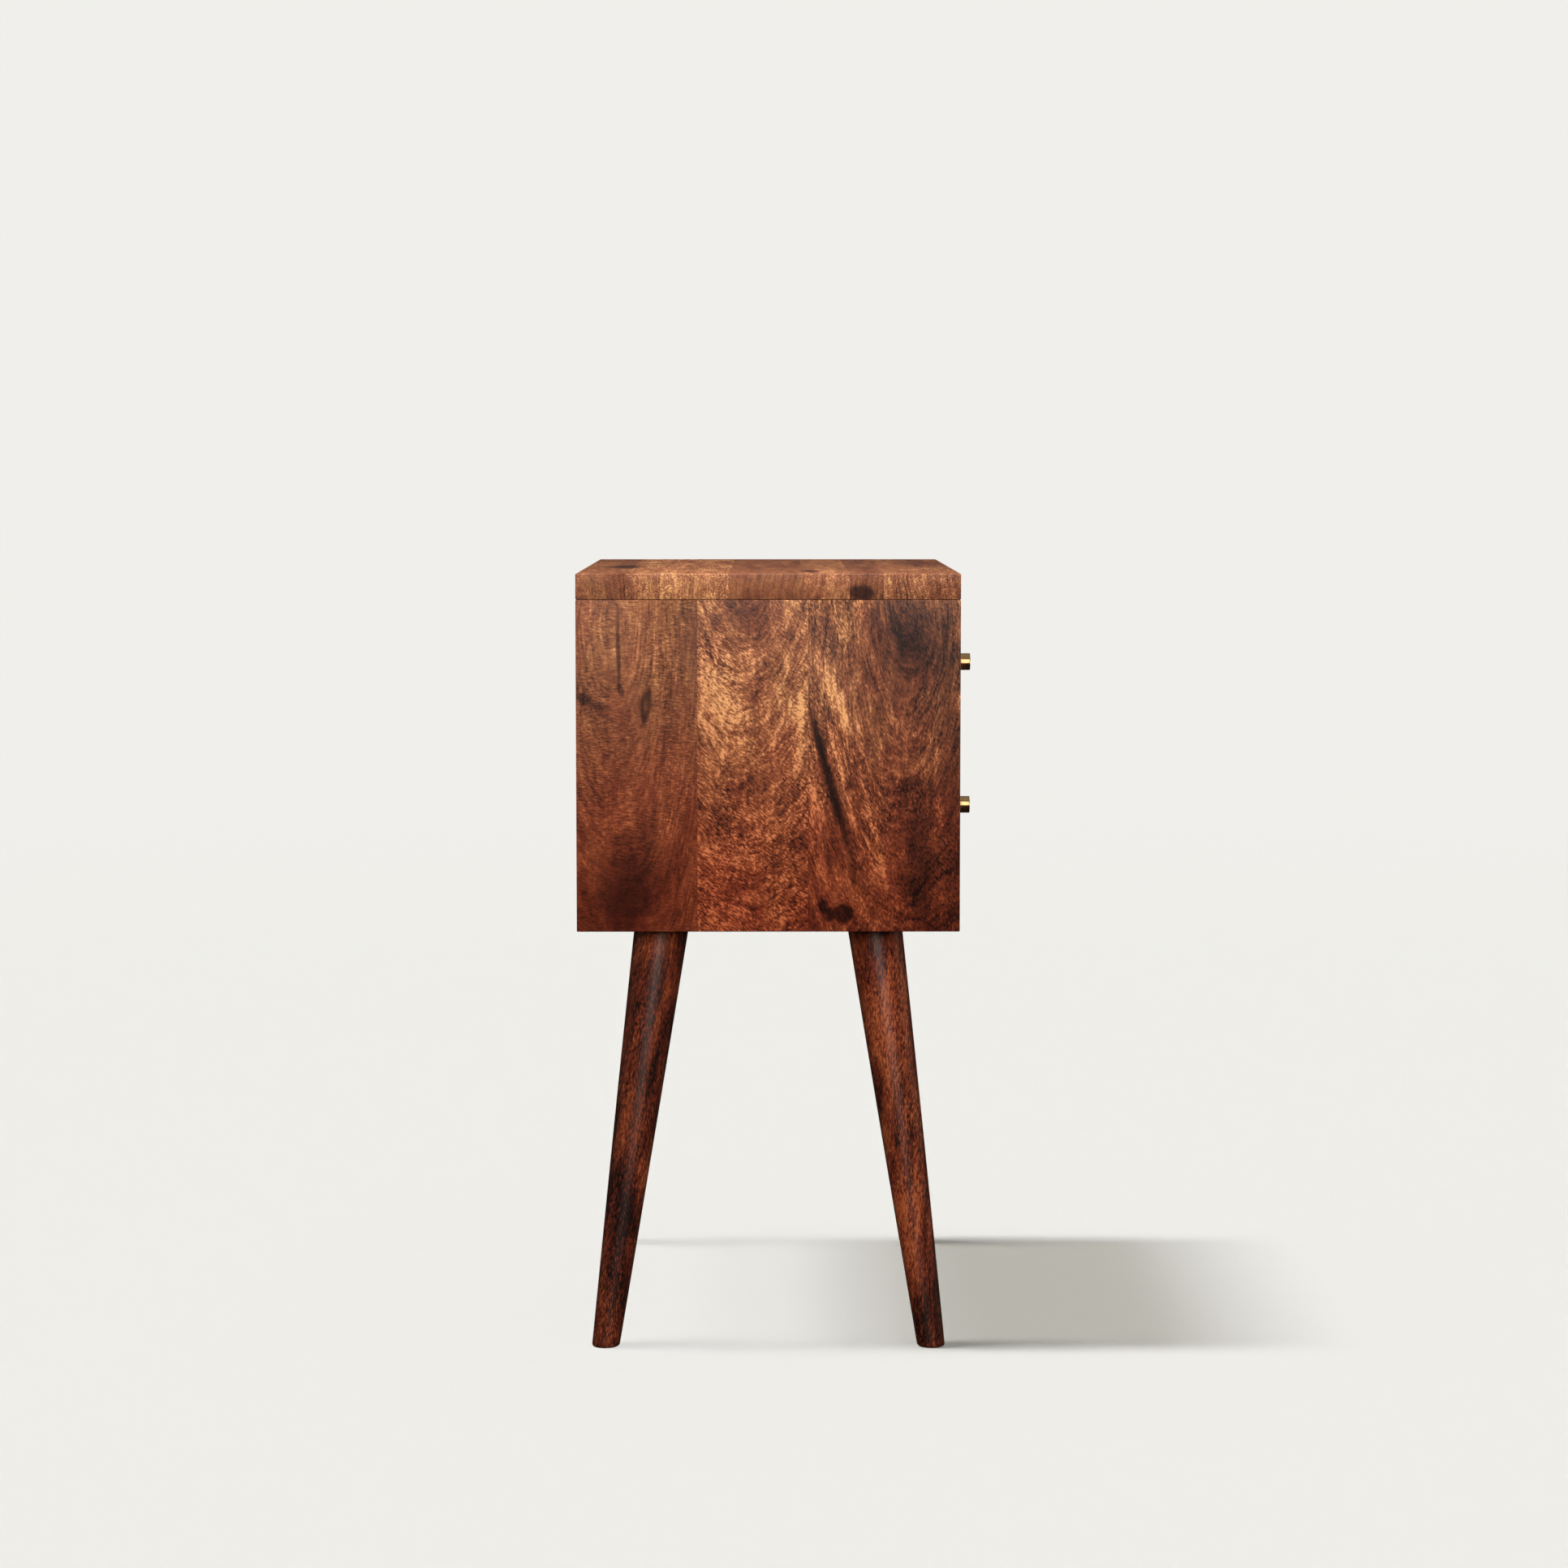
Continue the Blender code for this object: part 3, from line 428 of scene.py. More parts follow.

# %% [markdown]
# ## Where the heart shows
# A maker turns a board until its knots and dark streaks please the eye. The ones on the left side
# and the top are listed one by one: centre, half lengths, slope, softness of the edge, and darkness.
# A negative darkness is a golden streak, where the sapwood took less stain.

# %% Patches on the side and the top
face_x = side_low.x
SIDE_PATCHES = [
    ((face_x, -0.1040, 0.5640), (0.03, 0.044, 0.056), 0.10, 1.00, 0.42),
    ((face_x, -0.0380, 0.5720), (0.03, 0.006, 0.038), 0.22, 0.90, 0.20),
    ((face_x, -0.0405, 0.4470), (0.02, 0.0060, 0.066), 0.27, 0.85, 0.54),
    ((face_x, -0.0290, 0.4870), (0.02, 0.0045, 0.024), 0.27, 0.70, 0.20),
    ((face_x, -0.0550, 0.4500), (0.02, 0.0065, 0.0070), 0.10, 0.80, 0.30),
    ((face_x, -0.0340, 0.3540), (0.02, 0.0055, 0.0060), 0.00, 0.30, 0.34),
    ((face_x, -0.0470, 0.3480), (0.02, 0.0110, 0.0075), 0.00, 0.30, 0.46),
    ((face_x, 0.1055, 0.5105), (0.02, 0.0054, 0.0132), 0.00, 0.35, 0.36),
    ((face_x, 0.1050, 0.5110), (0.02, 0.0022, 0.0070), 0.00, 0.80, -0.18),
    ((face_x, 0.1264, 0.5560), (0.02, 0.0021, 0.036), 0.02, 0.70, 0.34),
    ((face_x, 0.1245, 0.5240), (0.02, 0.0028, 0.0060), 0.30, 0.50, 0.30),
    ((face_x, 0.1525, 0.5160), (0.02, 0.0070, 0.0060), 0.40, 0.60, 0.36),
    ((face_x, 0.1400, 0.5100), (0.02, 0.0090, 0.0040), 0.90, 0.70, 0.22),
    ((face_x, 0.1180, 0.3640), (0.03, 0.040, 0.060), -0.20, 1.00, 0.42),
    ((face_x, -0.1100, 0.3850), (0.03, 0.022, 0.100), 0.06, 1.00, 0.36),
    ((face_x, -0.1360, 0.4300), (0.03, 0.012, 0.170), 0.03, 1.00, 0.26),
    ((face_x, 0.0235, 0.5830), (0.03, 0.042, 0.034), 0.00, 1.00, 0.22),
    ((face_x, -0.0290, 0.4330), (0.02, 0.0055, 0.024), 0.28, 0.80, -0.42),
    ((face_x, -0.0500, 0.4480), (0.02, 0.0026, 0.052), 0.27, 0.80, -0.32),
    ((face_x, -0.0670, 0.4380), (0.02, 0.0030, 0.040), 0.22, 0.90, -0.24),
    ((face_x, -0.0790, 0.3900), (0.02, 0.0030, 0.030), 0.20, 0.90, -0.24),
    ((face_x, -0.0400, 0.5260), (0.02, 0.0090, 0.050), 0.45, 0.95, -0.26),
    ((face_x, -0.0160, 0.5000), (0.02, 0.0035, 0.060), 0.00, 0.90, -0.20),
    ((face_x, 0.0490, 0.5000), (0.03, 0.026, 0.062), 0.00, 1.00, -0.24),
]
end_x = top_low.x
top_z = top_high.z
TOP_PATCHES = [
    ((end_x, -0.0640, 0.5995), (0.012, 0.0125, 0.0070), 0.30, 0.50, 0.36),
    ((end_x + 0.075, -0.0240, top_z), (0.030, 0.0070, 0.0060), 0.00, 0.40, 0.45),
    ((end_x + 0.200, 0.1270, top_z), (0.060, 0.0160, 0.0060), 0.00, 0.50, 0.40),
    ((end_x + 0.300, -0.1200, top_z), (0.140, 0.0250, 0.0060), 0.00, 1.00, 0.22),
]
print("patches:", len(SIDE_PATCHES), "on the side,", len(TOP_PATCHES), "on the top")

# %% [markdown]
# ## The wood finishes
# One recipe, six woods. The sides turn darker and redder towards their feet, and the other boards
# do so only faintly. Legs have a little more lacquer, and the inner wood has wax alone, so it gets
# no coat and hardly any drift in its hue.

# %% Wood finishes
# Heights over which the boards turn darker and redder downwards, strongly on the sides and faintly
# elsewhere.
RUST = (bottom_low.z, top_low.z - 0.03)
FAINT_RUST = (bottom_low.z - 0.30, top_low.z + 0.10)
box_wood = build_wood("chestnut_mango", CHESTNUT, BOX_WEIGHTS, 0.42, redder=FAINT_RUST)
stained_side = build_wood("chestnut_mango_far_side", CHESTNUT, BOX_WEIGHTS, 0.42, redder=RUST)
side_wood = build_wood("chestnut_mango_side", CHESTNUT, BOX_WEIGHTS, 0.42, SIDE_PATCHES, RUST)
top_wood = build_wood("chestnut_mango_top", CHESTNUT, BOX_WEIGHTS, 0.42, TOP_PATCHES)
leg_wood = build_wood("dark_mango", LEG_STAIN, LEG_WEIGHTS, 0.44, coat=0.10)
inner_wood = build_wood("waxed_wood", WAXED, PLAIN_WEIGHTS, 0.55, coat=0.0, gold=0.15)
woods = (box_wood, stained_side, side_wood, top_wood, leg_wood, inner_wood)
print("wood finishes:", [wood.name for wood in woods])

# %% [markdown]
# ## Boards glued up from staves
# A wide board is never one plank: staves are glued edge to edge. The board could be drawn again
# from its sizes, but a copy of the frame's solid keeps its joints. Its outer edges are then
# eased with a bevel, because no real board has a knife edge.

# %% Copying and easing a board
chance = random.Random(11)


def merged_copy(node):
    """The frame's solid as a clean bmesh, with flat faces whole again."""
    shape = bmesh.new()
    shape.from_mesh(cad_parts[node].data)
    bmesh.ops.remove_doubles(shape, verts=shape.verts, dist=0.00001)
    bmesh.ops.dissolve_limit(
        shape, angle_limit=math.radians(1), verts=shape.verts, edges=shape.edges
    )
    return shape


def ease_edges(shape, low, high, radius):
    """Bevels the edges that run along the outside corners of a board."""
    outer = []
    for edge in shape.edges:
        shared = 0
        for axis in range(3):
            for limit in (low[axis], high[axis]):
                if all(abs(v.co[axis] - limit) < 0.00002 for v in edge.verts):
                    shared += 1
        if shared >= 2:
            outer.append(edge)
    bmesh.ops.bevel(
        shape, geom=outer, offset=radius, segments=3, profile=0.5,
        affect="EDGES", material=-1, clamp_overlap=True,
    )


sample = merged_copy("top_panel")
print("a clean copy of the top has", len(sample.faces), "flat faces")
sample.free()

# %% [markdown]
# ## Cutting staves
# Glue lines could be drawn in the colour, but a real cut with a hairline left in it catches the
# light from every side. A plane cuts the board, and the open end is closed again.

# %% Stave helpers
GLUE_LINE = 0.00003


def stave_shapes(shape, axis, cuts):
    """Cuts a board at the given places and returns one closed shape for each stave."""
    staves = []
    edges_of_staves = [None] + sorted(cuts) + [None]
    for low, high in zip(edges_of_staves[:-1], edges_of_staves[1:]):
        stave = shape.copy()
        if low is not None:
            cut_level(stave, axis, low + GLUE_LINE, False)
        if high is not None:
            cut_level(stave, axis, high - GLUE_LINE, True)
        staves.append(stave)
    return staves


def cut_level(shape, axis, place, keep_low):
    """Keeps one side of a plane and closes the cut."""
    normal = Vector((0, 0, 0))
    normal[axis] = 1.0 if keep_low else -1.0
    point = Vector((0, 0, 0))
    point[axis] = place
    everything = shape.verts[:] + shape.edges[:] + shape.faces[:]
    result = bmesh.ops.bisect_plane(
        shape, geom=everything, dist=0.000001, plane_co=point, plane_no=normal, clear_outer=True
    )
    rim = [item for item in result["geom_cut"] if isinstance(item, bmesh.types.BMEdge)]
    bmesh.ops.holes_fill(shape, edges=rim, sides=0)
    return rim


def extent(shape):
    corners = [v.co for v in shape.verts]
    low = Vector([min(c[i] for c in corners) for i in range(3)])
    high = Vector([max(c[i] for c in corners) for i in range(3)])
    return low, high


print("glue line:", round(GLUE_LINE * 2000, 3), "mm")

# %% [markdown]
# ## The tree inside a stave
# Each corner of a stave remembers where it stood in the trunk. A pith that leans away from the
# face makes arches, and one far to the side makes straight lines, so the choice of the pith is
# the choice between flat-sawn and quarter-sawn wood.

# %% Grain helpers
def write_grain(shape, along, face, pith, look):
    """Stores each point's place in the tree. along and face are axis numbers of the board."""
    grain = shape.verts.layers.float_vector.new("grain")
    looks = shape.verts.layers.float_vector.new("look")
    across = 3 - along - face
    for corner in shape.verts:
        run = corner.co[along] - pith["start"]
        depth = corner.co[face] - pith["face"] + run * pith["lean"]
        aside = corner.co[across] - pith["across"] + run * pith["sway"]
        corner[grain] = Vector((depth, aside, corner.co[along] + pith["far"]))
        corner[looks] = Vector(look)


def some_pith(low, high, along, face, flat=True):
    """A likely place for the tree's heart behind a stave. Flat sawn shows arches."""
    across = 3 - along - face
    middle = (low[across] + high[across]) / 2
    if flat:
        sideways = chance.uniform(-0.02, 0.02)
    else:
        sideways = chance.choice((-1, 1)) * chance.uniform(0.08, 0.14)
    return {
        "start": chance.uniform(low[along], high[along]),
        "face": (low[face] + high[face]) / 2 + chance.uniform(-0.006, 0.006),
        "across": middle + sideways,
        "lean": chance.choice((-1, 1)) * chance.uniform(0.12, 0.30),
        "sway": chance.uniform(-0.05, 0.05),
        "far": chance.uniform(0, 40),
    }


print("grain axes: depth, across, along")

# %% [markdown]
# ## A finished piece
# The staves of a board are joined into one mesh, so that the board stays one piece with one name.
# It rides on its body and stands for the frame's own solid.

# %% Piece helper
def to_piece(name, shapes, finish, body, slot_name, *nodes):
    """Joins closed shapes into one named piece that rides on a body."""
    mesh = bpy.data.meshes.new(name)
    whole = bmesh.new()
    for shape in shapes:
        part = bpy.data.meshes.new("part")
        shape.to_mesh(part)
        shape.free()
        whole.from_mesh(part)
        bpy.data.meshes.remove(part)
    bmesh.ops.triangulate(whole, faces=[f for f in whole.faces if len(f.verts) > 4])
    whole.to_mesh(mesh)
    whole.free()
    mesh.shade_smooth()
    mesh.set_sharp_from_angle(angle=math.radians(32))
    mesh.materials.append(finish)
    piece = bpy.data.objects.new(name, mesh)
    bpy.context.scene.collection.objects.link(piece)
    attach(piece, body)
    if nodes:
        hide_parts(*nodes)
    return piece


print("piece helper ready")

# %% [markdown]
# ## One board, from copy to piece
# The steps above in the order of the bench: copy, ease, cut, give each stave its grain, glue up.

# %% Board builder
def build_board(
    node, finish, body, slot_name, along, face, cuts=(), looks=None, piths=None, ease=0.0006,
    flat=True, tone=0.42,
):
    """One board of the frame as eased, glued staves."""
    shape = merged_copy(node)
    low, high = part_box(node)
    ease_edges(shape, low, high, ease)
    across = 3 - along - face
    staves = stave_shapes(shape, across, cuts) if cuts else [shape.copy()]
    shape.free()
    for number, stave in enumerate(staves):
        stave_low, stave_high = extent(stave)
        pith = piths[number] if piths else some_pith(stave_low, stave_high, along, face, flat)
        look = (
            tone + chance.uniform(-0.08, 0.08), chance.uniform(0.7, 1.1), chance.uniform(-0.6, 0.6)
        )
        write_grain(stave, along, face, pith, looks[number] if looks else look)
    piece = to_piece("visual_" + node, staves, finish, body, slot_name, node)
    print(node, len(staves), "staves,", len(piece.data.polygons), "faces")


print("board builder ready")

# %% [markdown]
# ## The two sides
# Each side is three staves with upright grain. On the left one the arches hang point down, which
# is what a board shows when the heart of the tree comes nearer the face towards the top. So
# each stave's pith meets the plane of the face at the top edge or above it, and leans away on the
# way down. The right side has the same build with a tree of its own.

# %% Side panels
rear_cut = side_high.y - 0.0946
front_cut = side_low.y + 0.1189


def hanging_arches(from_front, lean, above_foot, far):
    """A pith that reaches the face at a height and leans away from it on the way down."""
    return {
        "start": side_low.z + above_foot, "face": side_low.x, "across": side_low.y + from_front,
        "lean": -lean, "sway": 0.0, "far": far,
    }


left_piths = [
    hanging_arches(0.0425, 0.34, 0.261, 3.1),
    hanging_arches(0.1665, 0.38, 0.331, 9.4),
    hanging_arches(0.2715, 0.30, 0.246, 17.2),
]
# darkness, strength of the figure and slant of the flecks, from the front stave to the rear one
left_looks = [(0.46, 1.00, 0.35), (0.33, 1.00, 0.85), (0.44, 0.62, 1.45)]
build_board(
    "side_panel_left", side_wood, "carcass", "chestnut_wood", Z_AXIS, X_AXIS,
    cuts=(front_cut, rear_cut), piths=left_piths, looks=left_looks,
)
build_board(
    "side_panel_right", stained_side, "carcass", "chestnut_wood", Z_AXIS, X_AXIS,
    cuts=(front_cut + 0.01, rear_cut - 0.012),
)

# %% [markdown]
# ## Top, bottom and back
# The top is glued from six staves that run the long way, cut so that the rings stand upright:
# its ends then show short upright strokes. The tones change from stave to stave, as they do in
# a batch of mango. The bottom has four staves, and the back is a plain sheet.

# %% Top, bottom, back and rails
# the same three values as for the side, from the front stave to the rear one
top_looks = [
    (0.43, 0.7, 0.3), (0.50, 0.6, 0.0), (0.36, 0.7, 0.2),
    (0.46, 0.5, 0.0), (0.33, 0.7, 0.1), (0.45, 0.6, 0.2),
]
top_cuts = [top_high.y - width for width in (0.0390, 0.1204, 0.1779, 0.2136, 0.2398)]
build_board(
    "top_panel", top_wood, "carcass", "chestnut_wood", X_AXIS, Z_AXIS, cuts=top_cuts,
    looks=top_looks, flat=False,
)
bottom_cuts = [middle_y - 0.045, middle_y, middle_y + 0.045]
build_board("bottom_panel", box_wood, "carcass", "chestnut_wood", X_AXIS, Z_AXIS, cuts=bottom_cuts)
build_board("back_panel", inner_wood, "carcass", "plywood", X_AXIS, Y_AXIS, ease=0.0005)
build_board("middle_rail", box_wood, "carcass", "chestnut_wood", X_AXIS, Z_AXIS)
build_board("top_strip", box_wood, "carcass", "chestnut_wood", X_AXIS, Z_AXIS)
for level in LEVELS:
    for side in SIDES:
        build_board(
            "runner_" + level + "_" + side, inner_wood, "carcass", "drawer_wood", Y_AXIS, Z_AXIS
        )

# %% [markdown]
# ## Drawers
# A drawer front is one wide board with the grain running across, and the dovetails of its sides
# are already in the frame's solids, so copying them keeps the joint. The inner boards are
# paler, waxed wood, and the bottom is thin ply.

# %% Drawer boards
for level in LEVELS:
    body = "drawer_" + level
    build_board(
        "drawer_front_" + level, box_wood, body, "chestnut_wood", X_AXIS, Y_AXIS,
        ease=0.0010, tone=0.40,
    )
    for side in SIDES:
        build_board(
            "drawer_side_" + level + "_" + side, inner_wood, body, "drawer_wood", Y_AXIS, X_AXIS
        )
    build_board("drawer_back_" + level, inner_wood, body, "drawer_wood", X_AXIS, Y_AXIS)
    build_board(
        "drawer_bottom_" + level, inner_wood, body, "plywood", X_AXIS, Z_AXIS, ease=0.0004, tone=0.2
    )
    build_board(
        "stop_button_" + level, inner_wood, "stop_button_" + level, "drawer_wood", Z_AXIS, Y_AXIS,
        ease=0.0010, tone=0.5,
    )

# %% [markdown]
# ## Reading a leg
# A leg leans two ways, so its box says little. The middle and the width of the frame's own head
# and foot give its axis and its two radii.

# %% Leg measures
def flat_end(corners):
    """Middle and half width of the corners that make a level end."""
    xs = [corner.x for corner in corners]
    ys = [corner.y for corner in corners]
    return (min(xs) + max(xs)) / 2, (min(ys) + max(ys)) / 2, (max(ys) - min(ys)) / 2


def leg_axis(node):
    """Foot centre, head centre, half width of the head and of the foot."""
    low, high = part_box(node)
    corners = [vertex.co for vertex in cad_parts[node].data.vertices]
    head_x, head_y, head_half = flat_end([c for c in corners if c.z > high.z - 0.0005])
    foot_x, foot_y, foot_half = flat_end([c for c in corners if c.z < low.z + 0.0006])
    return Vector((foot_x, foot_y, low.z)), Vector((head_x, head_y, high.z)), head_half, foot_half


print("legs stand", round(leg_axis("leg_front_left")[1].z, 3), "high under the box")

# %% [markdown]
# ## The lathe
# Legs and knobs are both turned. A lathe spins the work and takes its outline off, so here half an
# outline is spun round the axis, and the points that meet on the axis are merged.

# %% Turning helper
def spun(profile, steps):
    """A turned solid round Z from a half outline of (radius, height) points."""
    shape = bmesh.new()
    points = [shape.verts.new((radius, 0, height)) for radius, height in profile]
    edges = [shape.edges.new(pair) for pair in zip(points[:-1], points[1:])]
    bmesh.ops.spin(
        shape, geom=points + edges, cent=(0, 0, 0), axis=(0, 0, 1), angle=2 * math.pi,
        steps=steps, use_merge=True, use_duplicate=False,
    )
    bmesh.ops.remove_doubles(shape, verts=shape.verts, dist=0.00001)
    bmesh.ops.recalc_face_normals(shape, faces=shape.faces)
    return shape


print("turning helper:", spun.__name__)

# %% [markdown]
# ## Turning a leg
# A leg is turned between two centres and cut level afterwards at both ends. Its outline includes
# the bolt's hole in the head. It is made a little too long, and two level cuts give the oval
# ends that a splayed leg really has.

# %% Leg shapes
LEG_STEPS = 96
LEG_RINGS = 24
LEG_SPARE = 0.010            # turned past each end, then cut off
LEG_SWELL = 0.0003           # how far the taper swells half way up
FOOT_ROUNDING = 0.0022
BOLT_HOLE = 0.0043
BOLT_HOLE_DEPTH = 0.035


def turned_leg(length, foot_radius, head_radius):
    """The leg round Z with its foot at zero, too long at both ends."""
    slope = (head_radius - foot_radius) / length
    profile = []
    for step in range(LEG_RINGS + 1):
        run = -LEG_SPARE + (length + 2 * LEG_SPARE) * step / LEG_RINGS
        swell = LEG_SWELL * math.sin(math.pi * min(max(run / length, 0), 1))
        profile.append((foot_radius + slope * run + swell, run))
    hole_end = length - BOLT_HOLE_DEPTH
    profile = [(0, profile[0][1])] + profile
    profile += [(BOLT_HOLE, profile[-1][1]), (BOLT_HOLE, hole_end), (0, hole_end)]
    return spun(profile, LEG_STEPS)


def level_ends(shape, foot, head):
    """Cuts head and foot level. The head keeps its bolt hole, and the foot's rim is rounded."""
    level_top = bmesh.ops.bisect_plane(
        shape, geom=shape.verts[:] + shape.edges[:] + shape.faces[:], dist=0.000001,
        plane_co=head, plane_no=(0, 0, 1), clear_outer=True,
    )
    rim = [item for item in level_top["geom_cut"] if isinstance(item, bmesh.types.BMEdge)]
    bmesh.ops.triangle_fill(shape, edges=rim, use_beauty=True, normal=(0, 0, 1))
    foot_rim = cut_level(shape, Z_AXIS, foot.z, False)
    bmesh.ops.bevel(
        shape, geom=foot_rim, offset=FOOT_ROUNDING, segments=5, profile=0.5,
        affect="EDGES", material=-1, clamp_overlap=True,
    )
    bmesh.ops.recalc_face_normals(shape, faces=shape.faces)


print("leg shapes ready:", LEG_STEPS, "steps round,", LEG_RINGS, "rings up")

# %% [markdown]
# ## Four legs
# The grain follows the leg's own axis, with the pith a little to one side and the trunk leaning
# slightly, so the rings run out of the taper in long ovals.

# %% Legs
LEG_LOOK = (0.49, 1.0, 0.15)
LEG_LEAN = 0.15


def write_leg_grain(shape, placing, length):
    grain = shape.verts.layers.float_vector.new("grain")
    looks = shape.verts.layers.float_vector.new("look")
    back = placing.inverted()
    aside = Vector((chance.uniform(0.012, 0.030), chance.uniform(-0.02, 0.02), 0))
    far = chance.uniform(5, 40)
    for corner in shape.verts:
        local = back @ corner.co
        lean = LEG_LEAN * (local.z - length / 2)
        corner[grain] = Vector((local.x + aside.x + lean, local.y + aside.y, local.z + far))
        corner[looks] = Vector(LEG_LOOK)


def build_leg(node):
    foot, head, head_half, foot_half = leg_axis(node)
    squash = math.cos(math.atan2(abs(head.y - foot.y), head.z - foot.z))
    head_radius = head_half * squash
    foot_radius = (foot_half + FOOT_ROUNDING) * squash
    length = (head - foot).length
    shape = turned_leg(length, foot_radius, head_radius)
    tilt = (head - foot).normalized().to_track_quat("Z", "Y").to_matrix().to_4x4()
    placing = Matrix.Translation(foot) @ tilt
    bmesh.ops.transform(shape, matrix=placing, verts=shape.verts)
    level_ends(shape, foot, head)
    write_leg_grain(shape, placing, length)
    to_piece("visual_" + node, [shape], leg_wood, "carcass", "leg_wood", node)
    print(node, "radius", round(foot_radius, 4), "to", round(head_radius, 4))


for corner in CORNERS:
    build_leg("leg_" + corner)

# %% [markdown]
# ## Brass and steel
# Polished brass is never quite even: fingers and air leave it a little darker in patches. Steel
# with a zinc coat is duller and slightly blotched. Both are one recipe with other colours.

# %% Metal finishes
def build_metal(name, light, dark, roughness, speckle):
    finish, tree, shader = new_finish(name, roughness, 1.0)
    place = add(tree, "TexCoord").outputs["Object"]
    patchy = noise(tree, place, speckle, (1, 1, 1), 3.0, 0.6)
    tree.links.new(ramp(tree, patchy, [(0.30, dark), (0.70, light)]), shader.inputs["Base Color"])
    gloss = calc(tree, "MULTIPLY_ADD", patchy, 0.10, roughness - 0.05)
    tree.links.new(gloss, shader.inputs["Roughness"])
    return finish


brass = build_metal("turned_brass", (0.80, 0.50, 0.24), (0.72, 0.43, 0.19), 0.22, 140.0)
steel = build_metal("zinc_steel", (0.62, 0.63, 0.64), (0.46, 0.47, 0.49), 0.34, 420.0)
print("metals:", brass.name, steel.name)

# %% [markdown]
# ## Knobs
# Each knob is a short round bar on a thinner neck. A small round at both ends of the head catches
# the light as the real one does, so the outline needs quarter rounds.

# %% Quarter round
def rounded(radius, height, ease, steps, outward=True):
    """Points of a quarter round at the outer corner (radius, height)."""
    points = []
    for step in range(steps + 1):
        angle = math.pi / 2 * step / steps
        short, long = ease * math.sin(angle), ease * math.cos(angle)
        if outward:
            points.append((radius - ease + short, height - ease + long))
        else:
            points.append((radius - ease + long, height + ease - short))
    return points


print("quarter rounds:", rounded.__name__)

# %% [markdown]
# ## Two knobs
# The head, the neck and the screw's hole are one profile. Its length and width come from the
# frame, and each knob points straight out of its drawer front.

# %% Knobs
KNOB_STEPS = 96
KNOB_HEAD = 0.010
KNOB_ROUND = 0.0004
KNOB_NECK_SHARE = 5 / 7
KNOB_HOLE = 0.0023
KNOB_HOLE_DEPTH = 0.0095
outwards = Vector((0, -1, 0)).to_track_quat("Z", "Y").to_matrix().to_4x4()
for level in LEVELS:
    node = "knob_" + level
    low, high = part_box(node)
    radius = (high.x - low.x) / 2
    reach = high.y - low.y
    centre_z = (low.z + high.z) / 2
    neck = radius * KNOB_NECK_SHARE
    shoulder = reach - KNOB_HEAD
    profile = [(0, reach)]
    profile += rounded(radius, reach, KNOB_ROUND, 4)
    profile += rounded(radius, shoulder, KNOB_ROUND, 4, outward=False)
    profile += [(neck, shoulder), (neck, KNOB_ROUND), (neck - KNOB_ROUND, 0)]
    profile += [(KNOB_HOLE, 0), (KNOB_HOLE, KNOB_HOLE_DEPTH), (0, KNOB_HOLE_DEPTH)]
    shape = spun(profile, KNOB_STEPS)
    placing = Matrix.Translation((0, high.y, centre_z)) @ outwards
    bmesh.ops.transform(shape, matrix=placing, verts=shape.verts)
    to_piece("visual_" + node, [shape], brass, "drawer_" + level, "brass", node)
    print(node, "head", round(2 * radius, 4), "across")

# %% [markdown]
# ## Steel in the frame
# The plates, bolts and screws are hidden or nearly so, and their shapes are right as they are.
# They keep the frame's shapes and take the steel finish, and the dowels take plain wood.

# %% Carried-over pieces
dowel_wood, dowel_tree, dowel_shader = new_finish("dowel_wood", 0.6)
dowel_place = add(dowel_tree, "TexCoord").outputs["Object"]
dowel_fleck = noise(dowel_tree, dowel_place, 900.0, (1, 1, 0.05), 2.0)
dowel_colour = ramp(dowel_tree, dowel_fleck, [(0.3, (0.40, 0.25, 0.12)), (0.7, (0.62, 0.43, 0.24))])
dowel_tree.links.new(dowel_colour, dowel_shader.inputs["Base Color"])
carried_over = {"dowel": dowel_wood, "screw": steel, "plate": steel, "bolt": steel}
for name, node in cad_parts.items():
    finishes = [finish for word, finish in carried_over.items() if word in name]
    if finishes:
        node.data.materials.clear()
        node.data.materials.append(finishes[0])
        print(name, "takes", finishes[0].name)

# %% [markdown]
# ## Floor
# A sheet of pale paper, which runs out of sight into the backdrop. A real sweep curves up behind
# the furniture. A flat floor that fades into the backdrop's colour with distance looks the same
# from every side and has no horizon. It takes no part in lighting the furniture.

# %% Floor
BACKDROP = (0.871, 0.863, 0.832)
PAPER = (0.30, 0.2975, 0.2868)
bpy.ops.mesh.primitive_grid_add(x_subdivisions=1, y_subdivisions=1, size=60)
floor = bpy.context.active_object
floor.name = "floor"
floor.visible_diffuse = False
floor.visible_glossy = False
floor_finish, floor_tree, floor_shader = new_finish("floor_paper", 0.9, Specular_IOR_Level=0.0)
floor_shader.inputs["Base Color"].default_value = (*PAPER, 1.0)
way_out = vector(floor_tree, "LENGTH", add(floor_tree, "TexCoord").outputs["Object"])
fade = rise(floor_tree, way_out, 1.5, 5.0)
glow = add(floor_tree, "Emission", {"Color": (*BACKDROP, 1.0)}).outputs["Emission"]
faded = add(floor_tree, "MixShader", {0: fade, 1: floor_shader.outputs[0], 2: glow})
floor_tree.links.new(faded.outputs[0], floor_tree.nodes["Material Output"].inputs["Surface"])
floor.data.materials.append(floor_finish)
print("floor:", round(floor.dimensions.x), "m across")

# %% [markdown]
# ## Camera
# A long lens three metres off, a little above the top and turned slightly down, looks at the left
# side square on, so that a sliver of the top shows.

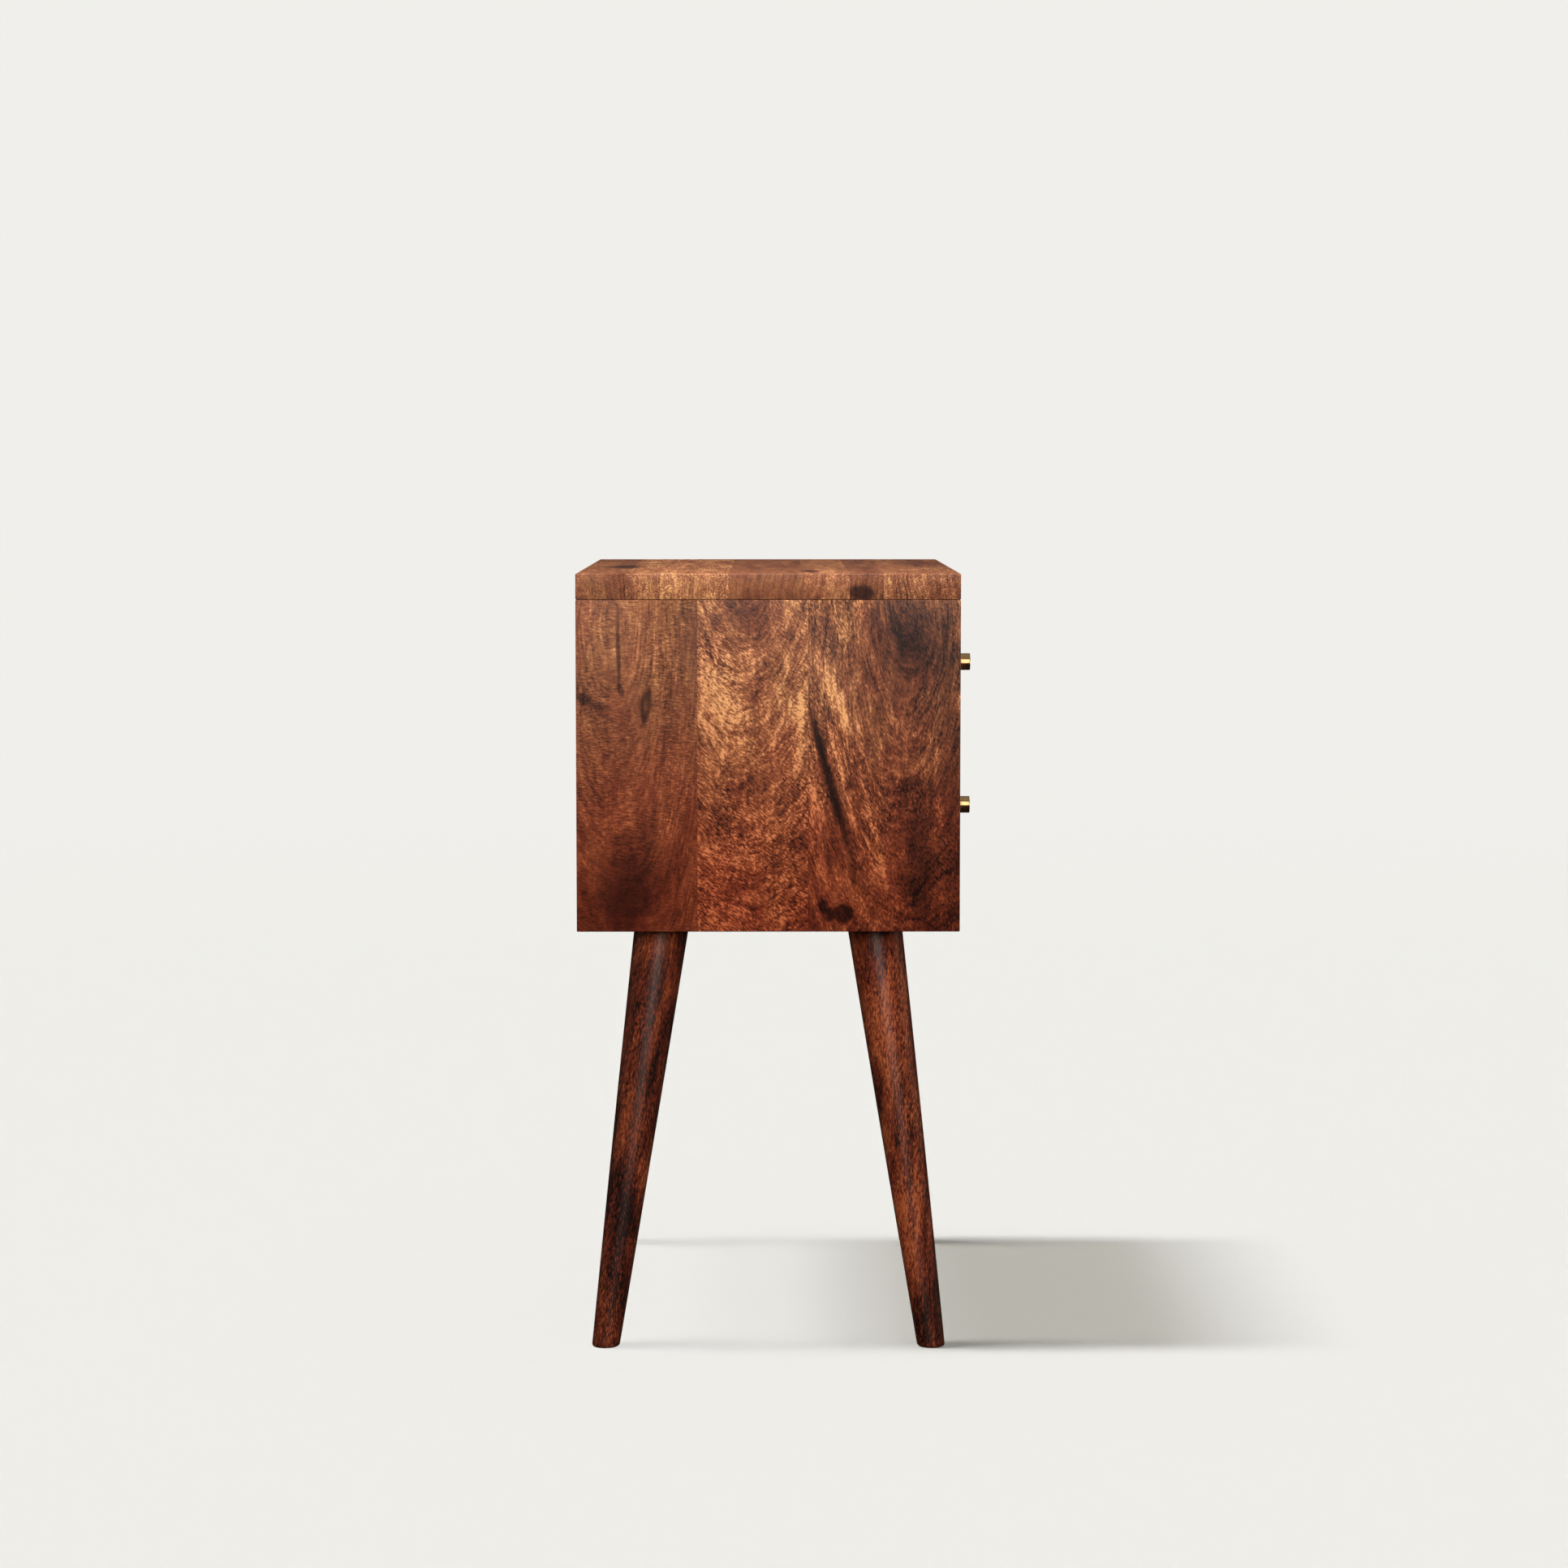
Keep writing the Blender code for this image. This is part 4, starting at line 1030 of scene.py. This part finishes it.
# %% Camera
CAMERA_DISTANCE = 2.984
CAMERA_ABOVE_TOP = 0.0867
LOOKING_DOWN = 4.80
TURNED_ASIDE = 0.259
camera_data = bpy.data.cameras.new("camera")
camera = bpy.data.objects.new("camera", camera_data)
bpy.context.scene.collection.objects.link(camera)
camera_data.sensor_width = 36.0
camera_data.lens = 88.07
camera.location = (
    side_low.x - CAMERA_DISTANCE, middle_y + 0.0012, top_high.z + CAMERA_ABOVE_TOP
)
camera.rotation_euler = (
    math.radians(90 - LOOKING_DOWN), 0, math.radians(-90 - TURNED_ASIDE)
)
bpy.context.scene.camera = camera
print("camera:", round(camera_data.lens), "mm lens,", CAMERA_DISTANCE, "m from the side")

# %% [markdown]
# ## A dim room
# The room gives the shadows their floor of light and the lacquer something to reflect: dark low
# down and pale overhead, like a studio with a white ceiling. The eye sees the backdrop instead.

# %% Room
world = bpy.data.worlds.new("studio")
bpy.context.scene.world = world
world.use_nodes = True
world_tree = world.node_tree
way = add(world_tree, "TexCoord").outputs["Generated"]
height = add(world_tree, "SeparateXYZ", {"Vector": way}).outputs["Z"]
overhead = ramp(
    world_tree, calc(world_tree, "MULTIPLY_ADD", height, 0.5, 0.5),
    [(0.0, (0.012, 0.011, 0.010)), (0.50, (0.03, 0.029, 0.028)), (0.66, (0.06, 0.059, 0.058)),
     (1.0, (0.30, 0.30, 0.30))],
)
seen = add(world_tree, "LightPath").outputs["Is Camera Ray"]
sky = blend(world_tree, seen, overhead, (*BACKDROP, 1.0))
world_tree.links.new(sky, world_tree.nodes["Background"].inputs["Color"])
bpy.context.scene.view_settings.view_transform = "Standard"
bpy.context.scene.view_settings.look = "None"
print("room:", world.name)

# %% [markdown]
# ## Lamps that light one thing each
# In a studio, flags and cards keep each lamp on the piece that it is for. Light linking does the
# same work: a set of objects says what a lamp lights, and another what stands in its way.

# %% Lamp helpers
def new_light(name, kind, energy, colour=(1, 1, 1), **settings):
    data = bpy.data.lights.new(name, kind)
    data.energy = energy
    data.color = colour
    for label, value in settings.items():
        setattr(data, label, value)
    lamp = bpy.data.objects.new(name, data)
    bpy.context.scene.collection.objects.link(lamp)
    return lamp


def shine(lamp, way):
    """Turns a lamp so that its light comes from the given direction."""
    lamp.rotation_euler = Vector(way).to_track_quat("Z", "Y").to_euler()


def gather(name, objects, state="INCLUDE"):
    """A set of objects that a lamp lights, or that it leaves out."""
    made = bpy.data.collections.new(name)
    for number, item in enumerate(objects):
        made.objects.link(item)
        made.collection_objects[number].light_linking.link_state = state
    return made


def pieces_of(*nodes):
    return [bpy.data.objects["visual_" + node] for node in nodes]


legs = pieces_of(*["leg_" + corner for corner in CORNERS])
knobs = pieces_of(*["knob_" + level for level in LEVELS])
only_floor = gather("only_floor", [floor])
only_legs = gather("only_legs", legs)
only_knobs = gather("only_knobs", knobs)
low_parts = gather("low_parts", pieces_of("bottom_panel", "leg_front_left", "leg_front_right"))
box_only = gather("box_only", [floor] + legs + knobs, "EXCLUDE")
box_and_knobs = gather("box_and_knobs", [floor] + legs, "EXCLUDE")
print("lamps can be kept to", len(legs), "legs,", len(knobs), "knobs, the box or the floor")

# %% [markdown]
# ## The shadow on the floor
# The long shadow falls to the front. One soft sun would blur it all alike, so each part has its
# own strip of suns at slightly different heights: cool ones for the box, and weaker warm ones
# that lean with the legs and draw the shadows of the feet.

# %% Floor suns
def floor_suns(name, first, last, count, energy, colour, blockers=None, aside=0.0):
    """A strip of soft suns side by side, which light the floor and throw the shadow on it."""
    for number in range(count):
        slant = math.radians(first + (last - first) * number / (count - 1))
        label = name + "_" + str(number + 1)
        sun = new_light(label, "SUN", energy / count, colour, angle=math.radians(6))
        shine(sun, (aside * math.cos(slant), math.sin(slant), math.cos(slant)))
        sun.light_linking.receiver_collection = only_floor
        if blockers:
            sun.light_linking.blocker_collection = blockers


COOL = (0.912, 0.937, 1.0)
WARM = (1.0, 0.975, 0.908)
floor_suns("high_sun", 14, 22, 3, 0.60, COOL)
floor_suns("low_sun", 27, 41, 6, 4.40, COOL, low_parts)
for side in SIDES:
    foot, head = leg_axis("leg_front_" + side)[:2]
    lean = (head.x - foot.x) / (head.z - foot.z)
    front_foot = gather("front_foot_" + side, pieces_of("leg_front_" + side))
    both_feet = gather("both_feet_" + side, pieces_of("leg_front_" + side, "leg_rear_" + side))
    floor_suns("foot_sun_" + side, 14, 32, 3, 1.50, WARM, front_foot, lean)
    floor_suns("heel_sun_" + side, 8, 24, 3, 1.00, WARM, both_feet, lean)
print("floor suns:", len([item for item in bpy.data.lights if item.type == "SUN"]))

# %% [markdown]
# ## Soft lamps and cards
# A soft box high by the left side makes the upper part golden and lets the foot of the box go
# dark. The legs get a small lamp of their own, the knobs a card to reflect, and wide cards light
# the sides that face away. Those stay below the top, or it would turn hazy.

# %% Soft lamps
def soft_panel(name, place, target, size, energy, receivers, colour=(1, 1, 1)):
    """A rectangular soft lamp at place that faces target. The camera doesn't see it."""
    lamp = new_light(name, "AREA", energy, colour, shape="RECTANGLE", size=size[0], size_y=size[1])
    lamp.location = place
    shine(lamp, Vector(place) - Vector(target))
    lamp.visible_camera = False
    lamp.light_linking.receiver_collection = receivers
    print(name, energy, "W")


near_x = side_low.x
soft_panel(
    "soft_box", (near_x - 0.42, middle_y + 0.08, top_high.z + 0.36),
    (near_x, middle_y, top_high.z - 0.10), (0.9, 0.35), 5.2, box_only,
)
soft_panel(
    "leg_strip", (near_x - 1.0, middle_y - 0.02, 0.60), (near_x, middle_y, 0.18), (0.30, 0.30), 7.4,
    only_legs, (1.0, 0.84, 0.74),
)
soft_panel(
    "knob_card", (near_x - 0.35, middle_y - 0.17, 0.62), (0, middle_y - 0.17, 0.49), (0.3, 0.50),
    1.3, only_knobs, (1.0, 0.95, 0.88),
)
soft_panel(
    "front_card", (0, middle_y - 2.2, 0.36), (0, middle_y, 0.45), (1.6, 0.5), 18.0, box_and_knobs
)
soft_panel("back_card", (0, middle_y + 2.2, 0.34), (0, middle_y, 0.40), (1.6, 0.5), 18.0, box_only)
soft_panel("far_card", (2.2, middle_y, 0.34), (0, middle_y, 0.40), (1.4, 0.5), 24.0, box_only)
soft_panel("far_leg_card", (1.8, middle_y, 0.50), (0, middle_y, 0.25), (0.6, 0.6), 3.0, only_legs)
LEG_GLOW = (1.0, 0.72, 0.55)
for name, away, energy in (("front_leg_card", -2.2, 3.0), ("back_leg_card", 2.2, 1.0)):
    soft_panel(
        name, (0, middle_y + away, 0.45), (0, middle_y, 0.2), (1.2, 0.6), energy, only_legs, LEG_GLOW
    )
top_sun = new_light("top_sun", "SUN", 2.1, (1.0, 0.96, 0.90), angle=math.radians(30))
shine(top_sun, (-0.08, 0.10, 0.99))
top_sun.light_linking.receiver_collection = box_only
